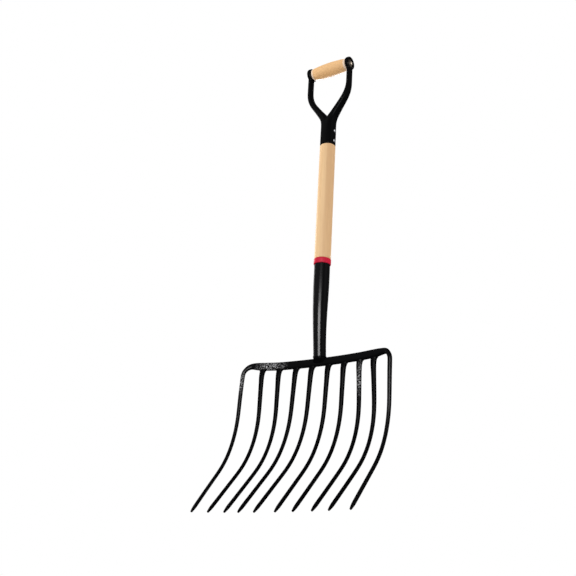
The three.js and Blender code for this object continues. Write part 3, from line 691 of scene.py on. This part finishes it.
def drawn_enamel():
    """Enamel over the drawn tines, duller than the rest. One tine has painted glints under its weld: grey
    flecks as a highlight.
    """
    scuffs = [(tine_point(7, 0.055) + Vector((0.003, -0.004, 0)), (0.008, 0.009, 0.05))]
    ripple = {"hammering": 0.04, "peeling": 0.03}
    return finish("drawn_enamel", enamel, coat=0.012, roughness=0.4, scuffs=scuffs, **ripple)


def ferrule_enamel():
    """Enamel over the sheet steel of the ferrule, the glossiest."""
    ripple = {"hammering": 0.02, "peeling": 0.015}
    return finish("ferrule_enamel", enamel, coat=0.065, roughness=0.22, **ripple)


def yoke_enamel():
    """Enamel over pressed steel."""
    ripple = {"hammering": 0.03, "peeling": 0.02}
    return finish("yoke_enamel", enamel, coat=0.035, roughness=0.3, **ripple)


def wood(add, place, colours, centre, turn, band, ends):
    """Lacquered ash or a like ring-porous wood, turned and sanded.

    It gives the eye long streaks of pale early wood and darker late wood along the piece, with
    short fine pores in the dark streaks. Across the band the colour darkens to one side, and
    the end grain shows from the first of the ends' places to the second. On the grip that darker
    side is painted shade along its underside; on the shaft it lies past a line up its front.
    """
    light, dark, end = [linear(code) for code in colours]
    # The mapping centres the grain on the piece and lays it along Z
    laid = {"Vector": place, "Location": centre, "Rotation": turn}
    mapped = add("Mapping", laid, vector_type="TEXTURE")
    # Growth rings about 7 mm wide, wavy along a few hundred millimetres
    rings = add("Mapping", {"Vector": mapped, "Scale": (150, 60, 3.2)})
    broad = add("TexNoise", {"Vector": rings, "Scale": 1, "Detail": 3, "Roughness": 0.55})
    # Pores 1 mm apart and 45 mm long, coarser than life so that they show
    pored = add("Mapping", {"Vector": mapped, "Scale": (1100, 1100, 22)})
    fine = add("TexNoise", {"Vector": pored, "Scale": 1, "Detail": 2})
    split = add("SeparateXYZ", {"Vector": mapped})
    across, along = split.outputs["X"], split.outputs["Z"]
    # The colour darkens across the band to one side: on the grip, painted shade along its underside
    darker_side_ramp = {"Value": across, "From Min": band[0], "From Max": band[1], "To Max": 0.62}
    side = add("MapRange", darker_side_ramp, interpolation_type="SMOOTHSTEP")
    streaks = add("MapRange", {"Value": broad, "From Min": 0.38, "From Max": 0.66, "To Max": 0.5})
    pores = add("MapRange", {"Value": fine, "From Min": 0.5, "From Max": 0.72, "To Max": 0.3})
    late = add("Math", {0: side, 1: streaks}, operation="ADD")
    late = add("Math", {0: late, 1: pores}, operation="ADD", use_clamp=True)
    colour = add("Mix", {FACTOR: late, FIRST: light, SECOND: dark}, data_type="RGBA")
    # Ends that are cut across the grain
    reach = add("Math", {0: along}, operation="ABSOLUTE")
    cut = add("MapRange", {"Value": reach, "From Min": ends[0], "From Max": ends[1], "To Max": 0.85})
    colour = add("Mix", {FACTOR: cut, FIRST: colour, SECOND: end}, data_type="RGBA")
    grain = add("Bump", {"Height": fine, "Strength": 0.05, "Distance": 0.0003})
    gloss = add("MapRange", {"Value": fine, "To Min": 0.42, "To Max": 0.62})
    lacquer = {"Roughness": gloss, "IOR": 1.5, "Specular IOR Level": 0.03}
    return add("BsdfPrincipled", {"Base Color": colour, "Normal": grain} | lacquer)


def shaft_ash():
    """Ash of the shaft, darker on the side that lies past a line up its front."""
    looks, grain_middle = finishes(), 0.4
    grain = {
        "colours": (looks.ash_light, looks.ash_dark, looks.ash_light),
        "centre": shaft_axis(grain_middle)[0],
        "turn": (0, 0, math.radians(34)),
        # Darker on the side towards the right and back of the shaft, past a line up its front
        "band": (-0.004, -0.001),
    }
    past_the_ends = (5, 6)
    return finish("shaft_ash", wood, ends=past_the_ends, **grain)


def grip_ash():
    """Wood of the cross grip, with paler end grain at its chamfers."""
    looks = finishes()
    half = handle().grip_length / 2
    grain = {
        "colours": (looks.grip_light, looks.grip_dark, looks.end_grain),
        "centre": grip_centre(),
        "turn": (0, math.radians(90), 0),
        # The band lies under the grip's axis: painted shade along its underside
        "band": (0.008, 0.016),
    }
    return finish("grip_ash", wood, ends=(half - 0.0075, half - 0.005), **grain)


def plastic(add, place, code):
    """Polyethylene, injection moulded.

    It gives the eye an even deep red with a soft broad sheen and a faint matt grain.
    """
    # Mould grain, drawn 0.8 mm across, which is coarser than life, and clouds about 11 mm across
    grain = add("TexNoise", {"Vector": place, "Scale": 1250, "Detail": 2})
    clouds = add("TexNoise", {"Vector": place, "Scale": 90, "Detail": 2})
    tone = add("MapRange", {"Value": clouds, "To Min": 0.88, "To Max": 1.12})
    colour = add("Mix", {FACTOR: 1, FIRST: linear(code), SECOND: tone}, **MULTIPLY)
    matt = add("Bump", {"Height": grain, "Strength": 0.15, "Distance": 0.0002})
    gloss = add("MapRange", {"Value": grain, "To Min": 0.45, "To Max": 0.6})
    sheen = {"Roughness": gloss, "IOR": 1.5, "Specular IOR Level": 0.03}
    return add("BsdfPrincipled", {"Base Color": colour, "Normal": matt} | sheen)


def moulded_plastic():
    """Red plastic of the collar."""
    return finish("moulded_plastic", plastic, code=finishes().collar)


def steel(add, place, code):
    """Plain steel: upset cold into rivet heads, stamped into washers, or bare on the dish walls.

    It gives the eye a grey metal with a fine grain and duller patches.
    """
    # Grain and patches about 1.5 mm across
    patches = add("TexNoise", {"Vector": place, "Scale": 650, "Detail": 3})
    gloss = add("MapRange", {"Value": patches, "To Min": 0.35, "To Max": 0.6})
    tone = add("MapRange", {"Value": patches, "To Min": 0.8, "To Max": 1.1})
    colour = add("Mix", {FACTOR: 1, FIRST: linear(code), SECOND: tone}, **MULTIPLY)
    grain = add("Bump", {"Height": patches, "Strength": 0.1, "Distance": 0.0002})
    metal = {"Base Color": colour, "Normal": grain, "Roughness": gloss, "Metallic": 1}
    return add("BsdfPrincipled", metal)


def headed_steel():
    """Steel of the socket's rivets."""
    return finish("headed_steel", steel, code=finishes().steel)


def shade_darkened_steel():
    """Steel of the long rivet, its washers and the dish walls, darker and browner as painted shade."""
    return finish("shade_darkened_steel", steel, code=finishes().shade_darkened_steel)


def floor_paint(add, place, code):
    """Pale paint that is clear from below.

    It gives the eye an even, matt floor that still takes the fork's shadow.
    """
    # Clouds about 300 mm across
    cloud = add("TexNoise", {"Vector": place, "Scale": 3})
    tone = add("MapRange", {"Value": cloud, "To Min": 0.98, "To Max": 1.02})
    colour = add("Mix", {FACTOR: 1, FIRST: linear(code), SECOND: tone}, **MULTIPLY)
    shader = add("BsdfPrincipled", {"Base Color": colour, "Roughness": 0.8, "Specular IOR Level": 0})
    under = add("NewGeometry").outputs["Backfacing"]
    return add("MixShader", {0: under, 1: shader, 2: add("BsdfTransparent")})


def studio_floor():
    """Painted floor, seen only from above."""
    return finish("studio_floor", floor_paint, code=finishes().floor)


# Pieces


class FORK_OT_head_frame(bpy.types.Operator):
    """Head bar with both outer tines, drawn as one bar and bent"""

    bl_idname = "fork.head_frame"
    bl_label = "Head Frame"

    def execute(self, context):
        h = head()
        last = h.tine_count - 1
        corners = []
        for i in (0, last):
            end = tine_point(i, h.corner_radius) - bar_middle()
            outward = math.copysign(1, end.x)
            middle_x = end.x - outward * h.corner_radius
            points = []
            for t in steps(0, 1, 8)[1:]:
                x = middle_x + outward * h.corner_radius * math.cos(t * math.pi / 2)
                z = lerp(-h.corner_radius, bar_lift(x), math.sin(t * math.pi / 2))
                points.append(Vector((x, lerp(end.y, bar_y(x), eased(t)), z)))
            corners.append(points)
        left, right = corners[0], corners[1][::-1]
        span = steps(left[-1].x, right[0].x, 26)[1:-1]
        path = left + [Vector((x, bar_y(x), bar_lift(x))) for x in span] + right
        tines = [tine_stations(i, h.corner_radius, False) for i in (0, last)]
        outer = tines[0][0]
        ends = [tines[0][0][0] - bar_middle(), tines[1][0][0] - bar_middle()]
        seat = (h.root_width + h.flare_width) / 2 + handle().fit
        taper = tine_point(1, 0).x - bar_middle().x - seat - left[-1].x
        bar = []
        for n, centre in enumerate(path):
            before = path[n - 1] if n else ends[0]
            after = path[n + 1] if n + 1 < len(path) else ends[1]
            in_bend = clamp(-centre.z / h.corner_radius)
            to_bend = min(centre.x - left[-1].x, right[0].x - centre.x) / taper
            full = clamp((1 + min(to_bend, 1) - in_bend) / 2)
            width = lerp(outer[2], h.bar_height, full)
            run = (after - before).normalized()
            outward = Vector((-run.z, 0, run.x))
            bar.append((
                bar_middle() + centre + outward * ((h.bar_height - width) / 2 * full),
                run,
                width,
                lerp(outer[3], h.bar_thickness, full),
                lerp(FULL_ROUNDNESS, BAR_ROUNDNESS, full),
            ))
        climbing = [(c, -run, w, t, r) for c, run, w, t, r in reversed(tines[0])]
        piece = forge(climbing + bar + tines[1])
        settle(piece, "forged_head_frame", ["head_bar"], forged_enamel())
        return {"FINISHED"}


class FORK_OT_neck(bpy.types.Operator):
    """Neck that spreads from the round ferrule into the thickness of the bar"""

    bl_idname = "fork.neck"
    bl_label = "Neck"

    def execute(self, context):
        h, s = head(), handle()
        foot = s.ferrule_foot_diameter / 2
        top = s.ferrule_foot - s.fit
        spread, hollow, straight = 0.006, 1.5, 0.0032
        # The neck starts a third of the bar's height below its centre line, inside its faces
        low = -h.bar_height * 0.32
        thin = h.bar_thickness / 2 - 0.0012
        sizes = [(low, foot + spread, thin)]
        for t in steps(0, 1, 8)[1:]:
            wide = foot + spread * (1 - t) ** hollow
            sizes.append((lerp(low, top - straight, t), wide, lerp(thin, foot, eased(t))))
        sizes.append((top, foot, foot))
        clear_selection()
        centre = shaft_axis(low)[0]
        bpy.ops.mesh.primitive_circle_add(vertices=48, radius=1, fill_type="NGON", location=centre)
        bpy.context.object.scale = (sizes[0][1], sizes[0][2], 1)
        piece = place_in_mesh()
        edit_all()
        for (_, wide, deep), (height, next_wide, next_deep) in zip(sizes, sizes[1:]):
            there = shaft_axis(height)[0]
            bpy.ops.mesh.extrude_region_move(TRANSFORM_OT_translate={"value": there - centre})
            growth = (next_wide / wide, next_deep / deep, 1)
            bpy.ops.transform.resize(value=growth, center_override=there)
            centre = there
        bpy.ops.object.mode_set(mode="OBJECT")
        tidy(piece, 50)
        settle(piece, "forged_neck", ["head_bar"], forged_enamel())
        return {"FINISHED"}


class FORK_OT_inner_tines(bpy.types.Operator):
    """Eight inner tines, each drawn out along its own sweep to a point"""

    bl_idname = "fork.inner_tines"
    bl_label = "Inner Tines"

    def execute(self, context):
        h = head()
        for i in range(1, h.tine_count - 1):
            root = tine_point(i, 0).x - bar_middle().x
            top = h.bar_height / 2 - h.weld_depth - bar_lift(root)
            stations = tine_stations(i, top, True)
            piece = forge(stations, flat_ends=stations[:1])
            name = f"tine_{i + 1:02d}"
            settle(piece, f"drawn_{name}", [name], drawn_enamel())
        return {"FINISHED"}


class FORK_OT_ferrule(bpy.types.Operator):
    """Tapered sheet-steel ferrule with its weld bead and flush rivet"""

    bl_idname = "fork.ferrule"
    bl_label = "Ferrule"

    def execute(self, context):
        s = handle()
        heights = steps(s.ferrule_foot, s.ferrule_top, 40)
        piece = tube([(height, ferrule_radius(height)) for height in heights])
        # The faces point outwards before the sheet gets its thickness, so that it grows inwards
        tidy(piece, 40)
        add_modifier(piece, "SOLIDIFY", thickness=s.sheet, offset=-1)
        tidy(piece, 40)
        settle(piece, "tapered_ferrule", ["ferrule"], ferrule_enamel())
        self.bead()
        self.rivet()
        return {"FINISHED"}

    def bead(self):
        """Weld bead round the seam of neck and ferrule."""
        s = handle()
        clear_selection()
        seam, lean = shaft_axis(s.ferrule_foot - s.fit / 2)
        place = {"location": seam, "rotation": (lean, 0, 0)}
        # The bead's middle is sunk a little into the steel
        sunk = s.ferrule_foot_diameter / 2 - 0.0001
        size = {"major_radius": sunk, "minor_radius": 0.0013}
        bpy.ops.mesh.primitive_torus_add(major_segments=120, minor_segments=16, **size, **place)
        bead = place_in_mesh()
        ripple = bpy.data.textures.new("weld_ripple", "CLOUDS")
        ripple.noise_scale = 0.004
        depth = {"strength": 0.0009, "mid_level": 0.6}
        add_modifier(bead, "DISPLACE", texture=ripple, texture_coords="LOCAL", **depth)
        tidy(bead)
        settle(bead, "weld_bead", ["ferrule_weld"], ferrule_enamel())

    def rivet(self):
        """Pin through ferrule and shaft, ground flush and chamfered."""
        height = handle().ferrule_top - 0.034
        half, radius, chamfer = ferrule_radius(height), 0.0025, 0.0004
        end = [(radius, half - chamfer), (radius - chamfer, half), (0, half)]
        profile = [(r, -x) for r, x in reversed(end)] + end
        rivet = turned(profile, "X", shaft_axis(height)[0], 32)
        settle(rivet, "flush_rivet", ["ferrule_rivet"], ferrule_enamel())


class FORK_OT_shaft(bpy.types.Operator):
    """Ash shaft from inside the ferrule up into the yoke's socket"""

    bl_idname = "fork.shaft"
    bl_label = "Shaft"

    def execute(self, context):
        s = handle()
        wall, chamfer = s.sheet + s.fit, 0.0008
        heights = steps(s.foot, s.ferrule_top, 24)
        rings = [(height, ferrule_radius(height) - wall) for height in heights]
        over_collar = s.ferrule_top + s.collar_height + 2 * s.fit
        below_yoke = s.rim - s.fit
        foot, top = s.shaft_diameter / 2, s.shaft_top_diameter / 2
        tenon = s.socket_diameter / 2 - wall
        rings += [(over_collar, rings[-1][1]), (over_collar, foot - chamfer)]
        rings += [(over_collar + chamfer, foot)]
        rings += [(below_yoke - chamfer, top), (below_yoke, top - chamfer), (below_yoke, tenon)]
        rings += [(s.rim + s.seat - s.end_taper, tenon), (s.rim + s.seat, tenon - s.end_narrowing)]
        piece = tube(rings)
        cap_ends(piece)
        tidy(piece, 30)
        settle(piece, "turned_shaft", ["shaft"], shaft_ash())
        return {"FINISHED"}


class FORK_OT_collar(bpy.types.Operator):
    """Moulded red collar over the joint of wood and ferrule"""

    bl_idname = "fork.collar"
    bl_label = "Collar"

    def execute(self, context):
        s = handle()
        bore, outside = s.ferrule_top_diameter / 2 - s.sheet, s.collar_diameter / 2
        edge, tall = 0.0014, s.collar_height
        lower = arc((outside - edge, edge), (edge, edge), -90, 0, 6)
        upper = arc((outside - edge, tall - edge), (edge, edge), 0, 90, 6)
        profile = [(bore, 0), *lower, *upper, (bore, tall), (bore, 0)]
        piece = turned(profile, "Z", shaft_axis(s.ferrule_top + s.fit)[0], 72)
        settle(piece, "moulded_collar", ["collar_ring"], moulded_plastic())
        return {"FINISHED"}


class FORK_OT_yoke(bpy.types.Operator):
    """Pressed steel yoke: a socket that parts into two arms, each with a dished eye"""

    bl_idname = "fork.yoke"
    bl_label = "Grip Yoke"

    def execute(self, context):
        s = handle()
        parts = []
        for side in (1, -1):
            stations = arm_stations(side)
            arm = forge(stations, flat_ends=(stations[0], stations[-1]))
            parts += [arm, self.eye(side)]
        piece = join(parts)
        add_modifier(piece, "REMESH", mode="VOXEL", voxel_size=0.00095)
        add_modifier(piece, "SMOOTH", factor=0.5, iterations=14)
        top = s.rim + s.seat + s.fit
        seat = s.socket_diameter / 2 - s.sheet
        profile = [(0, s.rim - PAST), (seat, s.rim - PAST), (seat, top - s.end_taper)]
        profile += [(seat - s.end_narrowing, top), (0, top)]
        cutters = [turned(profile, "Z", upright_foot()), self.seam(top)]
        cutters += [self.channel(side) for side in (1, -1)]
        for cutter in cutters:
            add_modifier(piece, "BOOLEAN", operation="DIFFERENCE", object=cutter, solver="EXACT")
            bpy.data.objects.remove(cutter)
        tidy(piece, 50)
        settle(piece, "pressed_yoke", ["grip_yoke"], yoke_enamel())
        self.steel_dish_walls(piece)
        return {"FINISHED"}

    def channel(self, side):
        """Stock that cuts the channel into the back of an arm."""
        s = handle()
        start = bar_middle().z + s.rim + s.parting + s.channel_start
        shift = Vector((0, (s.channel_wall + PAST) / 2, 0))
        stations = []
        for centre, run, depth, width, _ in arm_stations(side):
            if centre.z > start:
                size = (depth - 2 * s.channel_wall, width + PAST - s.channel_wall)
                stations.append((centre + shift, run, *size, CHANNEL_ROUNDNESS))
        return forge(stations, flat_ends=(stations[0], stations[-1]))

    def seam(self, top):
        """Plate that cuts the seam down the back of the socket."""
        s = handle()
        radius, low = s.socket_diameter / 2, s.rim - PAST
        middle = upright_foot() + Vector((0, radius, (low + top) / 2))
        clear_selection()
        size = (s.seam_width, radius, top - low)
        bpy.ops.mesh.primitive_cube_add(size=1, location=middle, scale=size)
        return bpy.context.object

    def steel_dish_walls(self, piece):
        """The walls of both dishes get the darker steel in place of enamel."""
        s = handle()
        piece.data.materials.append(shade_darkened_steel())
        start, depth, near, far = 0.003, 0.0038, 0.0105, 0.013
        inner = s.grip_length / 2 + s.fit + start
        pick(piece)
        bpy.ops.object.mode_set(mode="EDIT")
        bpy.ops.mesh.select_all(action="DESELECT")
        shape = bmesh.from_edit_mesh(piece.data)
        for face in shape.faces:
            off = face.calc_center_median() - grip_centre()
            around = Vector((0, off.y, off.z))
            in_dish = near < around.length < far and inner < abs(off.x) < inner + depth
            # Faces of the wall look inwards, to the pin
            face.select_set(in_dish and face.normal.dot(around) < -0.3 * around.length)
        bmesh.update_edit_mesh(piece.data)
        piece.active_material_index = 1
        bpy.ops.object.material_slot_assign()
        bpy.ops.object.mode_set(mode="OBJECT")

    def eye(self, side):
        """Round boss with a dished face round the long rivet."""
        s = handle()
        inner = s.grip_length / 2 + s.fit
        outer, floor = inner + s.eye_depth, inner + s.dish_floor
        half, edge = s.eye_diameter / 2, 0.0015
        mouth_radius, floor_radius = 0.0135, 0.011
        profile = [(0, inner), (half - edge, inner), (half, inner + edge), (half, outer - edge)]
        profile += [(half - edge, outer), (mouth_radius, outer), (floor_radius, floor), (0, floor)]
        return turned([(radius, side * place) for radius, place in profile], "X", grip_centre())


class FORK_OT_cross_grip(bpy.types.Operator):
    """Turned wood barrel between the eyes"""

    bl_idname = "fork.cross_grip"
    bl_label = "Cross Grip"

    def execute(self, context):
        s = handle()
        half, chamfer = s.grip_length / 2, 0.002
        swell = half - chamfer
        bore, end = s.pin_radius + s.fit, s.grip_end / 2
        profile = [(bore, -half), (end - chamfer, -half)]
        for x in steps(-swell, swell, 40):
            profile.append((lerp(s.grip_middle, s.grip_end, (x / swell) ** 2) / 2, x))
        profile += [(end - chamfer, half), (bore, half), (bore, -half)]
        piece = turned(profile, "X", grip_centre(), 72)
        sharp = {"limit_method": "ANGLE", "angle_limit": math.radians(25)}
        add_modifier(piece, "BEVEL", width=0.0007, segments=3, **sharp)
        tidy(piece, 40)
        settle(piece, "turned_grip", ["cross_grip"], grip_ash())
        return {"FINISHED"}


class FORK_OT_rivets(bpy.types.Operator):
    """Rivets of the socket, and the long rivet of the grip with its washers"""

    bl_idname = "fork.rivets"
    bl_label = "Rivets and Washers"

    def execute(self, context):
        s = handle()
        seat, pin, crown = s.socket_diameter / 2 + s.fit, 0.0023, 0.0017
        for name, rise in (("lower", 0.012), ("upper", 0.041)):
            centre = shaft_axis(s.rim + rise)[0]
            rivet = self.rivet(pin, 1.9 * pin, seat, crown, centre)
            settle(rivet, f"round_rivet_{name}", [f"yoke_rivet_{name}"], headed_steel())
        inner = s.grip_length / 2 + s.fit + s.dish_floor + s.fit
        outer = inner + s.washer
        bore, rim = s.pin_radius + s.fit, 0.0085
        for name, side in (("left", -1), ("right", 1)):
            near, far = side * inner, side * outer
            profile = [(bore, near), (rim, near), (rim, far), (bore, far), (bore, near)]
            washer = turned(profile, "X", grip_centre(), 48)
            add_modifier(washer, "BEVEL", width=0.0003, segments=2, limit_method="ANGLE")
            tidy(washer, 40)
            settle(washer, f"steel_washer_{name}", [f"grip_washer_{name}"], shade_darkened_steel())
        head_radius, crown = 0.0055, 0.0026
        long_rivet = self.rivet(s.pin_radius, head_radius, outer + s.fit, crown, grip_centre())
        settle(long_rivet, "long_rivet", ["grip_rivet"], shade_darkened_steel())
        return {"FINISHED"}

    def rivet(self, radius, head_radius, seat, crown, centre):
        """A pin along X with a domed head at each end."""
        dome = [(radius, seat), *arc((0, seat), (head_radius, crown), 0, 90, 8)]
        mirrored = [(r, -x) for r, x in reversed(dome)]
        return turned(mirrored + dome, "X", centre, 48)


class FORK_OT_stage(bpy.types.Operator):
    """Pale floor, soft lamps, white background and the camera"""

    bl_idname = "fork.stage"
    bl_label = "Stage"

    def execute(self, context):
        clear_selection()
        bpy.ops.mesh.primitive_plane_add(size=14)
        floor = context.object
        floor.name = "studio_floor"
        floor.data.materials.append(studio_floor())
        self.world(context)
        self.lamp(context, "left_softbox", (-1.5, -1.7, 1.9), (0, 0, 0.6), (2.8, 2.8), 1.72)
        self.lamp(context, "right_softbox", (1.9, 0.2, 1.4), (0, 0, 0.6), (1.4, 2.2), 1.35)
        # A card whose reflection is the sheen up the ferrule
        self.lamp(context, "tall_card", (0.43, -1.10, 0.66), (0, 0.08, 0.45), (0.75, 0.38), 135, True)
        # Two more that show the forms of the black pieces from the back and from the left
        self.lamp(context, "back_card", (-0.9, 1.5, 1.2), (0, 0.08, 0.6), (0.5, 1.2), 40, True)
        self.lamp(context, "side_card", (-1.7, 0.5, 1.0), (0, 0.08, 0.6), (0.4, 1.2), 30, True)
        # Place and angles of the camera were fitted to points picked on the photograph
        camera = bpy.data.objects.new("camera", bpy.data.cameras.new("camera"))
        context.scene.collection.objects.link(camera)
        place = Vector((1.14811823, -1.65895077, -0.19522868))
        tilt, roll, turn = [math.radians(angle) for angle in (109.806965, -3.203821, 34.585925)]
        camera.matrix_world = Matrix.LocRotScale(place, Euler((tilt, roll, turn)), None)
        camera.data.sensor_width = 36
        camera.data.lens = 56.25
        camera.data.clip_start, camera.data.clip_end = 0.05, 60
        context.scene.camera = camera
        context.scene.view_settings.view_transform = "Standard"
        return {"FINISHED"}

    def lamp(self, context, name, place, target, size, radiance, card=False):
        """A soft lamp that faces a point. A card only shows in reflections."""
        data = bpy.data.lights.new(name, "AREA")
        data.shape = "RECTANGLE"
        data.size, data.size_y = size
        data.energy = radiance * math.pi * size[0] * size[1]
        lamp = bpy.data.objects.new(name, data)
        lamp.location = place
        lamp.rotation_mode = "QUATERNION"
        lamp.rotation_quaternion = (Vector(target) - Vector(place)).to_track_quat("-Z", "Y")
        lamp.visible_camera = False
        lamp.visible_diffuse = not card
        context.scene.collection.objects.link(lamp)

    def world(self, context):
        """White behind the fork and in its reflections, and a plain grey light on it."""
        world = bpy.data.worlds.new("studio")
        context.scene.world = world
        world.use_nodes = True
        world.node_tree.nodes.clear()
        add = partial(add_node, world.node_tree)
        rays = add("LightPath")
        camera, glossy = rays.outputs["Is Camera Ray"], rays.outputs["Is Glossy Ray"]
        seen = add("Math", {0: camera, 1: glossy}, operation="MAXIMUM")
        seen = add("Math", {0: seen, 1: rays.outputs["Is Transmission Ray"]}, operation="MAXIMUM")
        white = (1, 1, 1, 1)
        light = add("Background", {"Color": white, "Strength": 0.62})
        backdrop = add("Background", {"Color": white, "Strength": 1})
        mixed = add("MixShader", {0: seen, 1: light, 2: backdrop})
        add("OutputWorld", {"Surface": mixed})


class FORK_PT_pieces(bpy.types.Panel):
    """Buttons for every piece of the fork"""

    bl_idname = "FORK_PT_pieces"
    bl_label = "Ensilage Fork"
    bl_space_type = "VIEW_3D"
    bl_region_type = "UI"
    bl_category = "Fork"

    def draw(self, context):
        for operator in OPERATORS:
            self.layout.operator(operator.bl_idname)
        for group in ("fork_head", "fork_handle", "fork_finishes"):
            box = self.layout.box()
            settings = getattr(context.scene, group)
            for name in settings.__annotations__:
                box.prop(settings, name)


OPERATORS = (
    FORK_OT_stage,
    FORK_OT_head_frame,
    FORK_OT_neck,
    FORK_OT_inner_tines,
    FORK_OT_ferrule,
    FORK_OT_shaft,
    FORK_OT_collar,
    FORK_OT_yoke,
    FORK_OT_cross_grip,
    FORK_OT_rivets,
)
CLASSES = (HeadSizes, HandleSizes, Finishes, *OPERATORS, FORK_PT_pieces)


def register():
    for cls in CLASSES:
        bpy.utils.register_class(cls)
    bpy.types.Scene.fork_head = PointerProperty(type=HeadSizes)
    bpy.types.Scene.fork_handle = PointerProperty(type=HandleSizes)
    bpy.types.Scene.fork_finishes = PointerProperty(type=Finishes)


def unregister():
    for name in ("fork_head", "fork_handle", "fork_finishes"):
        delattr(bpy.types.Scene, name)
    for cls in reversed(CLASSES):
        bpy.utils.unregister_class(cls)


def main():
    register()
    for operator in OPERATORS:
        group, name = operator.bl_idname.split(".")
        getattr(getattr(bpy.ops, group), name)()


if __name__ == "__main__":
    main()
